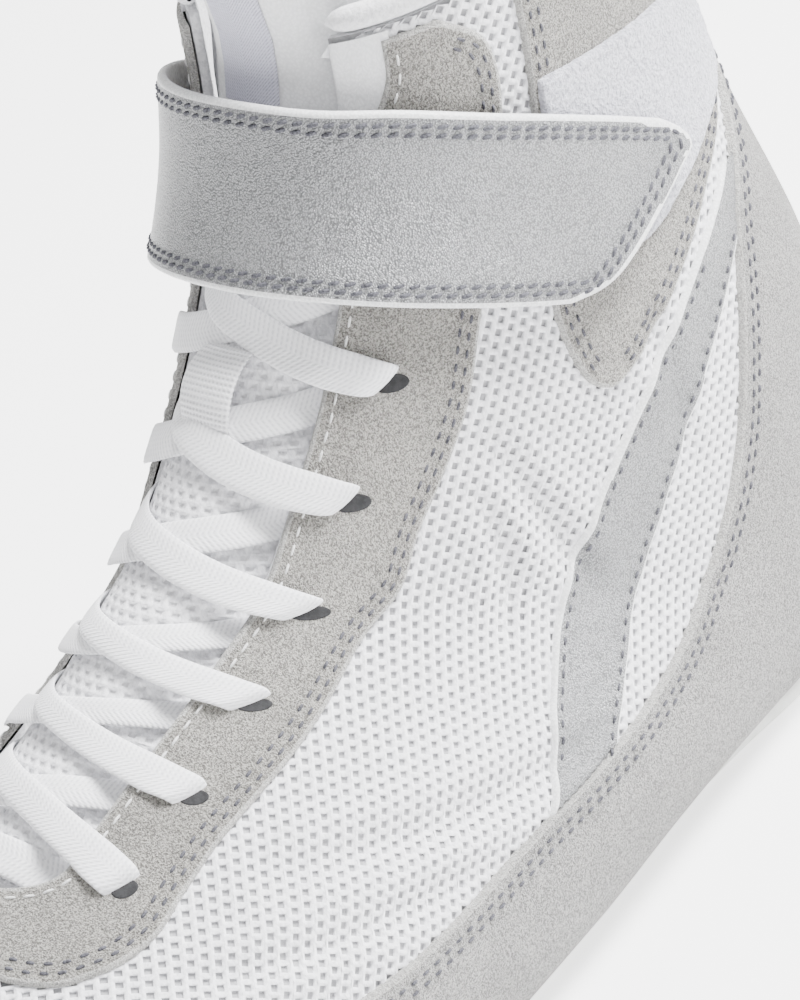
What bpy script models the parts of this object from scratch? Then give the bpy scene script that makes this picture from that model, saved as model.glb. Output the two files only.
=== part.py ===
"""Ankle-high wrestling shoe for the left foot, empty and standing on its own sole.

Metres, +Z up, the toe at +X and the lateral side at +Y. The origin is on the ground under the
middle of the heel. Points are worked out from the back of the heel, and each object then stands
HEEL_SEAT further back. Every piece of the upper is read from one family of rings that fans from
the level collar round the heel and on to the toe: a ring number says which ring, and a signed
share says how far down its side a point lies (0 top centre, 1 lateral, -1 medial).
"""
import math

import bmesh
import bpy
import numpy as np
from mathutils import Vector
from mathutils.kdtree import KDTree

# Sizes of the last
LENGTH = 0.288
BALL_WIDTH = 0.0965
ANKLE_WIDTH = 0.068
INSTEP_HEIGHT = 0.094
COLLAR_HEIGHT = 0.170
SOLE_EDGE = 0.010
HEEL_SEAT = 0.041

# Walls, layers and clearances
CLEARANCE = 0.0004
UPPER_WALL = 0.0020
SUEDE = 0.0009
PILE = 0.0008
STRAP_THICKNESS = 0.0017
INSOLE_THICKNESS = 0.0030
INSOLE_EASE = 0.0025
CUFF_RADIUS = 0.0022
WELD = 0.000002

# Throat, eyelets and lace
THROAT_WIDTH = 0.033
EYELET_EDGE = 0.0075
EYELET_RADIUS = 0.0022
EYELET_PITCH = 0.0193
EYELET_ROWS = 7
LACE_WIDTH = 0.0068
LACE_THICKNESS = 0.0009

# Tongue
TONGUE_MARGIN = 0.0085
TONGUE_THICKNESS = 0.0050
TONGUE_BULGE = 0.0032
TONGUE_RISE = 0.018
LABEL_WIDTH = 0.013
LOOP_WIDTH = 0.010
LOOP_THICKNESS = 0.0009

# Sole
SOLE_LIP = 0.0008
SOLE_STEP = 0.0006
GROOVE_WIDTH = 0.0022
GROOVE_DEPTH = 0.0012
GROOVE_PITCH = 0.0130

# Plan outline of the feather line. Columns: along (share of LENGTH), lateral, medial (shares of BALL_WIDTH)
OUTLINE = np.array([
    (0.00, 0.000, 0.000),
    (0.03, 0.207, -0.202),
    (0.08, 0.285, -0.280),
    (0.16, 0.326, -0.316),
    (0.25, 0.342, -0.306),
    (0.35, 0.363, -0.280),
    (0.45, 0.409, -0.290),
    (0.55, 0.456, -0.342),
    (0.64, 0.482, -0.399),
    (0.72, 0.472, -0.435),
    (0.80, 0.420, -0.435),
    (0.87, 0.332, -0.399),
    (0.93, 0.207, -0.326),
    (0.97, 0.093, -0.238),
    (1.00, -0.073, -0.073),
])
# Heights along the length. Columns: along (share of LENGTH), feather, underside (shares of SOLE_EDGE)
HEIGHTS = np.array([
    (0.00, 0.95, 0.25),
    (0.04, 0.88, 0.00),
    (0.10, 0.80, 0.00),
    (0.27, 0.78, 0.00),
    (0.33, 0.76, 0.28),
    (0.44, 0.67, 0.25),
    (0.52, 0.60, 0.00),
    (0.62, 0.55, 0.00),
    (0.77, 0.58, 0.00),
    (0.86, 0.80, 0.16),
    (0.93, 1.10, 0.45),
    (1.00, 1.50, 0.95),
])
# Leg sections, collar to heel. Columns: top_along, top_height, end_along, end_height, lateral, medial,
# peak, top_power, low_power (along by LENGTH, height by COLLAR_HEIGHT, sides by ANKLE_WIDTH)
LEG = np.array([
    (0.378, 0.988, 0.083, 1.035, 0.500, -0.500, 0.50, 2.30, 2.2),
    (0.384, 0.918, 0.076, 0.900, 0.500, -0.500, 0.50, 2.30, 2.2),
    (0.396, 0.844, 0.066, 0.788, 0.507, -0.507, 0.50, 2.20, 2.2),
    (0.415, 0.776, 0.050, 0.671, 0.522, -0.522, 0.51, 2.15, 2.2),
    (0.441, 0.715, 0.028, 0.559, 0.544, -0.544, 0.53, 2.10, 2.2),
    (0.470, 0.662, 0.009, 0.435, 0.559, -0.559, 0.56, 2.05, 2.2),
    (0.503, 0.618, 0.000, 0.306, 0.565, -0.557, 0.60, 2.00, 2.1),
    (0.536, 0.576, 0.000, 0.176, 0.571, -0.555, 0.62, 1.95, 2.0),
])
# Foot sections, heel to toe. Columns: top_along, top_height, top_shift, end_along, lateral, medial,
# peak, top_power, low_power (along by LENGTH, height by INSTEP_HEIGHT, shift and sides by BALL_WIDTH)
FOOT = np.array([
    (0.557, 1.000, 0.000, 0.000, 0.407, -0.390, 0.64, 1.92, 2.0),
    (0.578, 0.963, -0.005, 0.042, 0.420, -0.393, 0.66, 1.90, 2.1),
    (0.606, 0.910, -0.010, 0.132, 0.447, -0.397, 0.69, 1.90, 2.2),
    (0.635, 0.851, -0.016, 0.250, 0.482, -0.404, 0.71, 1.95, 2.4),
    (0.674, 0.787, -0.021, 0.389, 0.508, -0.425, 0.71, 2.00, 2.4),
    (0.715, 0.718, -0.031, 0.521, 0.523, -0.461, 0.71, 2.10, 2.4),
    (0.764, 0.660, -0.041, 0.639, 0.513, -0.487, 0.70, 2.20, 2.4),
    (0.819, 0.604, -0.052, 0.740, 0.466, -0.487, 0.68, 2.30, 2.3),
    (0.872, 0.548, -0.062, 0.819, 0.394, -0.451, 0.66, 2.40, 2.3),
    (0.913, 0.479, -0.067, 0.882, 0.301, -0.389, 0.64, 2.40, 2.3),
    (0.948, 0.404, -0.073, 0.929, 0.202, -0.316, 0.62, 2.30, 2.2),
    (0.977, 0.309, -0.073, 0.967, 0.088, -0.223, 0.60, 2.20, 2.2),
    (1.000, 0.160, -0.073, 1.000, -0.073, -0.073, 0.60, 2.00, 2.0),
])
HEEL_RING = len(LEG)
CUPPED_RINGS = 4.0
TOE_RING = len(LEG) + len(FOOT) - 1


def smooth(xs, ys, x):
    """Catmull-Rom curve through the rows (xs, ys), read at x and held at both ends."""
    xs = np.asarray(xs, float)
    ys = np.asarray(ys, float)
    slope = np.empty_like(ys)
    wide = (xs[2:] - xs[:-2]).reshape((-1,) + (1,) * (ys.ndim - 1))
    slope[1:-1] = (ys[2:] - ys[:-2]) / wide
    slope[0] = (ys[1] - ys[0]) / (xs[1] - xs[0])
    slope[-1] = (ys[-1] - ys[-2]) / (xs[-1] - xs[-2])
    x = np.clip(np.asarray(x, float), xs[0], xs[-1])
    i = np.clip(np.searchsorted(xs, x, side="right") - 1, 0, len(xs) - 2)
    step = xs[i + 1] - xs[i]
    t = (x - xs[i]) / step
    if ys.ndim > 1:
        t = t[..., None]
        step = step[..., None]
    near = (2 * t ** 3 - 3 * t ** 2 + 1) * ys[i] + (t ** 3 - 2 * t ** 2 + t) * step * slope[i]
    far = (-2 * t ** 3 + 3 * t ** 2) * ys[i + 1] + (t ** 3 - t ** 2) * step * slope[i + 1]
    return near + far


def bunched(along):
    """Position along the length, spaced so that the round ends read as round."""
    return np.arccos(np.clip(1 - 2 * np.asarray(along, float), -1, 1)) / math.pi


def outline(along):
    """Lateral and medial y of the feather line at a share of the length."""
    sides = smooth(bunched(OUTLINE[:, 0]), OUTLINE[:, 1:], bunched(along)) * BALL_WIDTH
    return sides[..., 0], sides[..., 1]


def feather(along):
    return smooth(HEIGHTS[:, 0], HEIGHTS[:, 1], along) * SOLE_EDGE


def underside(along):
    return np.maximum(smooth(HEIGHTS[:, 0], HEIGHTS[:, 2], along), 0.0) * SOLE_EDGE


def section_rows():
    """Both section tables in metres: top x, z, y, end along, end z, lateral, medial, peak and powers."""
    rows = []
    for row in LEG:
        top_along, top_height, end_along, end_height, lateral, medial = row[:6]
        rows.append((top_along * LENGTH, top_height * COLLAR_HEIGHT, 0.0, end_along,
                     end_height * COLLAR_HEIGHT, lateral * ANKLE_WIDTH, medial * ANKLE_WIDTH, *row[6:]))
    for row in FOOT:
        top_along, top_height, shift, end_along, lateral, medial = row[:6]
        rows.append((top_along * LENGTH, top_height * INSTEP_HEIGHT, shift * BALL_WIDTH, end_along,
                     float(feather(end_along)), lateral * BALL_WIDTH, medial * BALL_WIDTH, *row[6:]))
    return np.array(rows)


SECTIONS = section_rows()


def ring_curve(ring, side, t):
    """Points of one side of a ring, t 0 at the top centre and 1 at the back centre or feather line."""
    row = smooth(np.arange(len(SECTIONS)), SECTIONS, ring)
    top_x, top_z, top_y, end_along, end_z, lateral, medial, peak, top_power, low_power = row
    end_along = min(max(end_along, 0.0), 1.0)
    end_y = 0.0
    if ring > HEEL_RING:
        end_y = float(outline(end_along)[0 if side > 0 else 1])
        end_z = float(feather(end_along))
    widest = max(lateral, end_y) if side > 0 else min(medial, end_y)
    upper = np.clip(1 - t / peak, 0, 1)
    lower = np.clip((t - peak) / (1 - peak), 0, 1)
    y_top = top_y + (widest - top_y) * (1 - upper ** top_power) ** (1 / top_power)
    rolled = end_y + (widest - end_y) * (1 - lower ** low_power) ** (1 / low_power)
    big, small = abs(widest) ** low_power, abs(end_y) ** low_power
    cupped = side * (big - (big - small) * lower ** low_power) ** (1 / low_power)
    roll = min(max((ring - HEEL_RING) / CUPPED_RINGS, 0.0), 1.0)
    roll = roll * roll * (3 - 2 * roll)
    y_low = cupped + (rolled - cupped) * roll
    y = np.where(t < peak, y_top, y_low)
    x = top_x + (end_along * LENGTH - top_x) * t
    z = top_z + (end_z - top_z) * t
    return np.stack([x, y, z], -1)


RING_SAMPLES = (1 - np.cos(np.linspace(0, math.pi, 161))) / 2


def ring_points(ring, shares):
    """Points of a ring at signed arc shares: 0 top centre, +1 lateral end, -1 medial end."""
    ring = min(max(ring, 0.0), float(TOE_RING))
    shares = np.asarray(shares, float)
    if ring <= HEEL_RING:
        shares = np.where(shares > 1, shares - 2, np.where(shares < -1, shares + 2, shares))
    shares = np.clip(shares, -1, 1)
    found = np.empty(shares.shape + (3,))
    if ring >= TOE_RING:
        found[:] = (LENGTH, OUTLINE[-1, 1] * BALL_WIDTH, float(feather(1.0)))
        return found
    for side in (1, -1):
        curve = ring_curve(ring, side, RING_SAMPLES)
        run = np.concatenate([[0.0], np.cumsum(np.linalg.norm(np.diff(curve, axis=0), axis=1))])
        t = np.interp(np.abs(shares) * run[-1], run, RING_SAMPLES)
        points = ring_curve(ring, side, t)
        mine = shares >= 0 if side > 0 else shares < 0
        found[mine] = points[mine]
    return found


# Rings where the throat starts to round off and where it ends, and where every piece of the upper
# has its rows of points
THROAT_SHOULDER = 12.75
THROAT_END = 13.35
STATIONS = np.concatenate([
    np.linspace(0, HEEL_RING, 13),
    [HEEL_RING + 0.25],
    np.linspace(HEEL_RING + 0.6, THROAT_SHOULDER, 7),
    [13.05, 13.25],
    np.linspace(THROAT_END, TOE_RING - 0.5, 11)])

# Shares down each side where those pieces have their columns, so that stacked layers bend alike
SHARES = np.array([0.0, 0.06, 0.20, 0.29, 0.38, 0.47, 0.56, 0.66, 0.77, 0.885, 1.0])


def rings_between(first, last):
    """The shared rings inside a span, with the span's own two ends."""
    inside = STATIONS[(STATIONS > first + 0.12) & (STATIONS < last - 0.12)]
    return np.concatenate([[first], inside, [last]])


def plan_normal(along, side):
    """Outward normal in plan of the feather line at a share of the length."""
    place = float(bunched(along))
    spread = 0.004
    nearby = []
    for spot in (place - spread, place + spread):
        share = (1 - math.cos(math.pi * spot)) / 2
        y = float(outline(share)[0 if side > 0 else 1])
        if spot < 0:
            y = -y
        if spot > 1:
            y = 2 * OUTLINE[-1, 1] * BALL_WIDTH - y
        nearby.append(np.array([share * LENGTH, y]))
    tangent = (nearby[1] - nearby[0]) / np.linalg.norm(nearby[1] - nearby[0])
    return np.array([-tangent[1], tangent[0]]) * side


def ring_offset(ring, shares, lift):
    """Points of a ring moved along the surface's outward normal, or straight out beside the feather."""
    shares = np.asarray(shares, float)
    nudge_ring = 0.06 if ring <= HEEL_RING else 0.25
    nudge_share = 0.015
    here = ring_points(ring, shares)
    if ring >= TOE_RING:
        return here + np.array([1.0, 0.0, 0.0]) * np.asarray(lift, float).reshape(-1, 1)
    next_ring = ring if ring <= HEEL_RING < ring + nudge_ring else ring + nudge_ring
    last_ring = ring - nudge_ring if ring <= HEEL_RING else max(ring - nudge_ring, HEEL_RING)
    along = ring_points(next_ring, shares) - ring_points(last_ring, shares)
    around = ring_points(ring, shares + nudge_share) - ring_points(ring, shares - nudge_share)
    normal = np.cross(along, around)
    if ring <= HEEL_RING:
        normal[np.abs(shares) >= 1, 1] = 0.0
    normal = normal / np.linalg.norm(normal, axis=1, keepdims=True)
    if ring > HEEL_RING:
        end_along = float(smooth(np.arange(len(SECTIONS)), SECTIONS[:, 3], ring))
        for side in (1, -1):
            level = np.append(plan_normal(end_along, side), 0.0)
            fade = np.clip((shares * side - 0.80) / 0.20, 0, 1)[:, None]
            normal = normal * (1 - fade) + level * fade
        normal = normal / np.linalg.norm(normal, axis=1, keepdims=True)
    return here + normal * np.asarray(lift, float).reshape(-1, 1)


def share_at(ring, side, reach):
    """Signed share where the surface lies a given distance to one side of the ring's top centre."""
    samples = np.linspace(0, 0.5, 121) * side
    points = ring_points(ring, samples)
    across = np.maximum.accumulate(np.abs(points[:, 1] - points[0, 1]))
    return float(np.interp(reach, across, np.abs(samples))) * side


def table_curve(rows):
    """Curve through a short table of (ring, share) rows."""
    rows = np.array(rows)
    return lambda ring: float(smooth(rows[:, 0], rows[:, 1], ring))


def throat_half(ring):
    """Half width of the throat opening at a ring."""
    if ring >= THROAT_END:
        return 0.0
    gone = max(ring - THROAT_SHOULDER, 0.0) / (THROAT_END - THROAT_SHOULDER)
    return THROAT_WIDTH / 2 * math.sqrt(1 - gone ** 2)


def throat_share(ring, side):
    """Unsigned share of the throat's edge on one side."""
    half = throat_half(ring)
    return abs(share_at(ring, side, half)) if half > 0 else 0.0


def throat_edge(side):
    return lambda ring: throat_share(ring, side)


def feather_edge(ring):
    return 1.0


def make_material(name, colour, roughness, metallic=0.0):
    material = bpy.data.materials.new(name)
    material.use_nodes = True
    shader = material.node_tree.nodes["Principled BSDF"]
    shader.inputs["Base Color"].default_value = (*colour, 1.0)
    shader.inputs["Roughness"].default_value = roughness
    shader.inputs["Metallic"].default_value = metallic
    return material


def add_object(name, points, faces, look):
    """Object from points and faces, facing out, smooth on its round faces."""
    mesh = bpy.data.meshes.new(name)
    mesh.from_pydata([tuple(point) for point in points], [], faces)
    sheet = bmesh.new()
    sheet.from_mesh(mesh)
    bmesh.ops.remove_doubles(sheet, verts=sheet.verts, dist=WELD)
    bmesh.ops.recalc_face_normals(sheet, faces=sheet.faces)
    if sheet.calc_volume(signed=True) < 0:
        bmesh.ops.reverse_faces(sheet, faces=sheet.faces)
    sheet.to_mesh(mesh)
    sheet.free()
    mesh.shade_smooth()
    mesh.set_sharp_from_angle(angle=math.radians(40))
    made = bpy.data.objects.new(name, mesh)
    made.location.x = -HEEL_SEAT
    bpy.context.collection.objects.link(made)
    if look is not None:
        mesh.materials.append(make_material(name, *look))
    return made


def first_at_place(points):
    """For each point, the number of the first point that lies in the same place."""
    tree = KDTree(len(points))
    for number, point in enumerate(points):
        tree.insert(Vector(point), number)
    tree.balance()
    return [min(found[1] for found in tree.find_range(Vector(point), WELD)) for point in points]


def layer(name, patches, look):
    """Closed layer from patches of (outer, inner, side), point grids joined where outer points meet."""
    outer = np.concatenate([patch[0].reshape(-1, 3) for patch in patches])
    inner = np.concatenate([patch[1].reshape(-1, 3) for patch in patches])
    same = first_at_place(outer)
    faces = []
    start = 0
    for patch in patches:
        rows, columns = patch[0].shape[:2]
        for row in range(rows - 1):
            for column in range(columns - 1):
                corner = start + row * columns + column
                loop = [same[n] for n in (corner, corner + 1, corner + columns + 1, corner + columns)]
                if patch[2] < 0:
                    loop = loop[1:] + loop[:1]
                kept = [n for place, n in enumerate(loop) if n != loop[place - 1]]
                faces += [[kept[0], *kept[n:n + 2]] for n in range(1, len(kept) - 1)]
        start += rows * columns
    edges = {(face[n - 1], face[n]) for face in faces for n in range(len(face))}
    count = len(outer)
    lower = [[n + count for n in reversed(face)] for face in faces]
    rims = [[b, a, a + count, b + count] for a, b in sorted(edges) if (b, a) not in edges]
    return add_object(name, np.concatenate([outer, inner]), faces + lower + rims, look)


def surface_patch(rings, side, near, far, low, high):
    """Patch of one side between two share curves, lying from one lift to another above the surface."""
    outer = []
    inner = []
    for ring in rings:
        shares = side * np.clip(SHARES[::side], near(ring), max(far(ring), near(ring)))
        outer.append(ring_offset(ring, shares, np.full(len(shares), high)))
        inner.append(ring_offset(ring, shares, np.full(len(shares), low)))
    return np.array(outer), np.array(inner), side


def cut_with(target, cutter):
    cut = target.modifiers.new("cut", "BOOLEAN")
    cut.operation = "DIFFERENCE"
    cut.solver = "EXACT"
    cut.object = cutter


def as_cutter(made):
    made.hide_render = True
    made.display_type = "WIRE"
    return made


# Looks: colour, roughness and metallic value
SUEDE_LOOK = ((0.56, 0.55, 0.52), 0.95)
MESH_LOOK = ((0.80, 0.80, 0.81), 0.85)
RUBBER_LOOK = ((0.66, 0.67, 0.63), 0.60)
SILVER_LOOK = ((0.58, 0.59, 0.60), 0.45, 0.25)
PILE_LOOK = ((0.80, 0.80, 0.84), 1.0)
LACE_LOOK = ((0.82, 0.82, 0.82), 0.90)
LINING_LOOK = ((0.78, 0.78, 0.79), 0.95)
LABEL_LOOK = ((0.70, 0.70, 0.76), 0.80)


# Upper: one hollow wall, open at the collar, the throat and the bottom
def make_upper():
    rings = list(STATIONS) + [TOE_RING]
    patches = []
    for side in (1, -1):
        outer, inner = surface_patch(rings, side, throat_edge(side), feather_edge, -UPPER_WALL, 0.0)[:2]
        low = np.array(rings) > HEEL_RING
        edge = -1 if side > 0 else 0
        inner[low, edge, 2] = feather(inner[low, edge, 0] / LENGTH)
        inner[-1] = outer[-1] - np.array([UPPER_WALL, 0.0, 0.0])
        patches.append((outer, inner, side))
    return layer("upper", patches, MESH_LOOK)


# Eyestay: suede down both sides of the throat, joined round its front end
EYESTAY_EDGE = table_curve([
    (0.15, 0.285), (0.6, 0.343), (1.45, 0.345), (2.5, 0.310), (3.95, 0.272), (5.0, 0.255), (6.1, 0.235),
    (7.0, 0.220), (8.85, 0.220), (10.35, 0.243), (11.9, 0.262), (12.6, 0.288), (13.2, 0.318),
    (13.7, 0.308), (14.1, 0.235), (14.35, 0.0)])


def make_eyestay():
    rings = sorted(list(rings_between(0.15, 14.35)) + [14.15, 14.28])
    patches = [surface_patch(rings, side, throat_edge(side), EYESTAY_EDGE, CLEARANCE, CLEARANCE + SUEDE)
               for side in (1, -1)]
    return layer("eyestay", patches, SUEDE_LOOK)


# Foxing: suede heel counter, side strip and toe cap in one piece
FOXING_EDGE = table_curve([
    (0.10, 0.83), (2.3, 0.83), (3.2, 0.735), (4.8, 0.628), (5.85, 0.588), (7.7, 0.548), (9.4, 0.600),
    (10.85, 0.630), (11.8, 0.622), (12.6, 0.635), (13.1, 0.625), (14.0, 0.600), (15.0, 0.555), (16.0, 0.490),
    (17.0, 0.360), (17.6, 0.225), (18.0, 0.085), (18.1, 0.0)])


def make_foxing():
    rings = list(rings_between(0.10, TOE_RING - 0.5)) + [17.6, 18.1]
    rings = sorted(set(rings)) + [TOE_RING]
    low = 2 * CLEARANCE
    patches = [surface_patch(rings, side, FOXING_EDGE, feather_edge, low, low + SUEDE) for side in (1, -1)]
    return layer("foxing", patches, SUEDE_LOOK)


# Ankle panels: suede from the collar down to a rounded point on the quarter
PANEL_FRONT = table_curve([
    (0.12, 0.400), (1.2, 0.392), (2.5, 0.372), (3.95, 0.360), (4.5, 0.367), (5.0, 0.385), (5.2, 0.402),
    (5.27, 0.420)])
PANEL_BACK = table_curve([
    (0.12, 0.800), (2.3, 0.800), (3.45, 0.632), (4.7, 0.487), (5.1, 0.446), (5.22, 0.432), (5.27, 0.420)])


def make_ankle_panel(name, side):
    rings = sorted(set(list(rings_between(0.12, 5.27)) + [2.35, 3.0, 5.0, 5.2]))
    patch = surface_patch(rings, side, PANEL_FRONT, PANEL_BACK, CLEARANCE, CLEARANCE + SUEDE)
    return layer(name, [patch], SUEDE_LOOK)


# Loop patch: pile under the strap's free end, on the lateral ankle panel
PATCH_FRONT = table_curve([(1.3, 0.400), (3.0, 0.378), (3.45, 0.380), (3.72, 0.425)])
PATCH_BACK = table_curve([(1.3, 0.785), (2.4, 0.785), (2.8, 0.680), (3.25, 0.580), (3.6, 0.505), (3.72, 0.425)])


def make_loop_patch():
    rings = sorted(set(list(rings_between(1.3, 3.72)) + [2.35, 3.0]))
    low = 2.6 * CLEARANCE + SUEDE
    patch = surface_patch(rings, 1, PATCH_FRONT, PATCH_BACK, low, low + PILE)
    return layer("loop_patch", [patch], PILE_LOOK)


# Side bands: plain straight bands from the ankle panel to the foxing
BAND_FRONT = table_curve([(4.55, 0.535), (5.2, 0.462), (6.0, 0.412), (7.3, 0.385), (8.5, 0.402), (9.6, 0.440), (10.6, 0.500)])
BAND_BACK = table_curve([(4.55, 0.615), (5.2, 0.578), (6.0, 0.525), (7.3, 0.472), (8.5, 0.495), (9.6, 0.545), (10.6, 0.605)])


def make_side_band(name, side):
    rings = rings_between(4.55, 10.6)
    patch = surface_patch(rings, side, BAND_FRONT, BAND_BACK, CLEARANCE, CLEARANCE + SUEDE)
    return layer(name, [patch], SILVER_LOOK)


# Cuff: padded roll that follows the collar from one side of the throat round the heel to the other
def make_cuff():
    one_side = np.unique(np.clip(SHARES, throat_share(0.0, 1), 1.0))
    shares = np.concatenate([one_side, -one_side[-2::-1]])
    rim = ring_points(0.0, shares)
    wall_middle = ring_offset(0.0, shares, np.full(len(shares), -UPPER_WALL / 2))
    outward = ring_offset(0.0, shares, np.full(len(shares), 1.0)) - rim
    upward = np.array([0.0, 0.0, 1.0])
    corners = 6
    points = []
    for place in range(len(shares)):
        centre = wall_middle[place] + upward * (CLEARANCE + CUFF_RADIUS)
        for corner in range(corners):
            turn = 2 * math.pi * (corner + 0.5) / corners
            points.append(centre + CUFF_RADIUS * (math.cos(turn) * outward[place] + math.sin(turn) * upward))
    faces = []
    for place in range(len(shares) - 1):
        for corner in range(corners):
            after = (corner + 1) % corners
            here = place * corners
            there = here + corners
            faces.append([here + corner, here + after, there + after, there + corner])
    faces.append(list(range(corners)))
    faces.append([(len(shares) - 1) * corners + corner for corner in reversed(range(corners))])
    return add_object("collar_cuff", points, faces, LINING_LOOK)


# Rows across the throat: row 1 is the eyelet nearest the toe
FIRST_EYELET_RING = 12.75


def eyelet_reach():
    return THROAT_WIDTH / 2 + EYELET_EDGE


def row_rings():
    """Ring of each lacing row, spaced by the eyelet pitch along the eyelet line."""
    rings = np.linspace(FIRST_EYELET_RING, 0.0, 181)
    line = np.array([ring_points(ring, [share_at(ring, 1, eyelet_reach())])[0] for ring in rings])
    run = np.concatenate([[0.0], np.cumsum(np.linalg.norm(np.diff(line, axis=0), axis=1))])
    return run / EYELET_PITCH + 1, rings


ROW_NUMBERS, ROW_RINGS = row_rings()


def across_throat(row, reach, lift):
    """Point over the throat: lacing row, signed distance from the top centre, lift off the surface."""
    ring = float(np.interp(row, ROW_NUMBERS, ROW_RINGS))
    share = share_at(ring, 1 if reach >= 0 else -1, abs(reach))
    return ring_offset(ring, [share], [lift])[0]


def make_eyelet_cutter():
    """Short pins through the eyestay and the upper at each eyelet, as one cutter."""
    sides = 8
    points = []
    faces = []
    for row in range(1, EYELET_ROWS + 1):
        for side in (1, -1):
            foot = across_throat(row, side * eyelet_reach(), -UPPER_WALL * 2)
            head = across_throat(row, side * eyelet_reach(), UPPER_WALL * 2)
            axis = Vector(head - foot).normalized()
            first = axis.orthogonal().normalized()
            second = axis.cross(first)
            start = len(points)
            for end in (foot, head):
                for corner in range(sides):
                    turn = 2 * math.pi * corner / sides
                    ray = first * math.cos(turn) + second * math.sin(turn)
                    points.append(end + np.array(ray) * EYELET_RADIUS)
            for corner in range(sides):
                after = (corner + 1) % sides
                faces.append([start + corner, start + after, start + sides + after, start + sides + corner])
            faces.append([start + corner for corner in reversed(range(sides))])
            faces.append([start + sides + corner for corner in range(sides)])
    return as_cutter(add_object("eyelet_cutter", points, faces, None))


# Lace: flat crossings that go over the eyestay into the eyelets, joined where they cross
def ribbon(name, start_row, start_reach, end_row, end_reach, base, hump, look):
    steps = 6
    shape = [(-0.93, 1.0), (0.93, 1.0), (1.0, 0.0), (-1.0, 0.0)]
    grid = []
    start = np.array([start_row * EYELET_PITCH, start_reach])
    end = np.array([end_row * EYELET_PITCH, end_reach])
    ahead = (end - start) / np.linalg.norm(end - start)
    aside = np.array([-ahead[1], ahead[0]])
    for step in range(steps + 1):
        share = step / steps
        middle = start + (end - start) * share
        lift = base + hump * math.sin(math.pi * min(max((share - 0.12) / 0.76, 0.0), 1.0)) ** 2
        narrow = 1.0 - 0.30 * max(0.0, (share - 0.82) / 0.18)
        row = []
        for across, up in shape:
            spot = middle + aside * across * LACE_WIDTH / 2 * narrow
            row.append(across_throat(spot[0] / EYELET_PITCH, spot[1], lift + up * LACE_THICKNESS))
        grid.append(row)
    points = np.array(grid).reshape(-1, 3)
    ring = len(shape)
    faces = []
    for step in range(steps):
        for corner in range(ring):
            after = (corner + 1) % ring
            here = step * ring
            there = here + ring
            faces.append([here + corner, here + after, there + after, there + corner])
    faces.append(list(range(ring)))
    faces.append([steps * ring + corner for corner in reversed(range(ring))])
    return add_object(name, points, faces, look)


LACE_FLOOR = 0.0005
CROSSING_LIFT = 0.00035
LACE_STAGGER = 0.00018
EDGE_ROW_SHIFT = 1.04


def make_laces():
    base = CLEARANCE + SUEDE + LACE_FLOOR
    inside = THROAT_WIDTH / 2 - 0.0012
    outside = eyelet_reach() - EYELET_RADIUS
    pieces = bpy.data.collections.new("lace_pieces")
    bpy.context.scene.collection.children.link(pieces)
    laces = None
    for row in range(1, EYELET_ROWS):
        for side, hump in ((-1, 0.0), (1, CROSSING_LIFT)):
            name = "laces" if laces is None else f"lace_{row}_{'over' if side > 0 else 'under'}"
            made = ribbon(name, row + EDGE_ROW_SHIFT, -side * inside, row, side * outside,
                          base + (LACE_STAGGER if side > 0 else 0.0), hump, LACE_LOOK if laces is None else None)
            if laces is None:
                laces = made
                continue
            bpy.context.collection.objects.unlink(made)
            pieces.objects.link(as_cutter(made))
    join = laces.modifiers.new("join", "BOOLEAN")
    join.operation = "UNION"
    join.solver = "EXACT"
    join.operand_type = "COLLECTION"
    join.collection = pieces
    return laces


# Tongue: padded, under both eyestays, swelling up into the throat and rising past the collar
TONGUE_TOP = -1.6
TONGUE_FRONT = 13.9


def tongue_base(ring, reach, lift):
    """Surface point for the tongue, carried on straight up past the collar."""
    held = max(ring, 0.0)
    share = share_at(held, 1 if reach >= 0 else -1, abs(reach))
    point = ring_offset(held, [share], [lift])[0]
    rise = TONGUE_RISE * max(-ring, 0.0) / -TONGUE_TOP
    return point + np.array([0.10, 0.0, 1.0]) * rise


def tongue_half(ring):
    full = THROAT_WIDTH / 2 + TONGUE_MARGIN
    if ring > THROAT_SHOULDER - 1.5:
        full = full * (1 - 0.35 * (ring - THROAT_SHOULDER + 1.5) / (TONGUE_FRONT - THROAT_SHOULDER + 1.5))
    if ring < 0:
        full = full * (1 - 0.10 * ring / TONGUE_TOP)
    return full


def tongue_lift(ring, reach):
    """Lift of the tongue's outer face: under the wall at the sides, swollen in the opening."""
    under = -UPPER_WALL - 2.8 * CLEARANCE
    if ring < 1.0:
        beside_cuff = -UPPER_WALL / 2 - CUFF_RADIUS - 2 * CLEARANCE
        under += (beside_cuff - under) * min(1.0, (1.0 - ring) / 0.6)
    room = throat_half(ring + 0.25) - 0.0016
    if room <= 0.0015:
        return under
    swell = max(1 - (abs(reach) / room) ** 3, 0.0)
    return under + TONGUE_BULGE * swell * min(1.0, room / 0.010)


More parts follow.
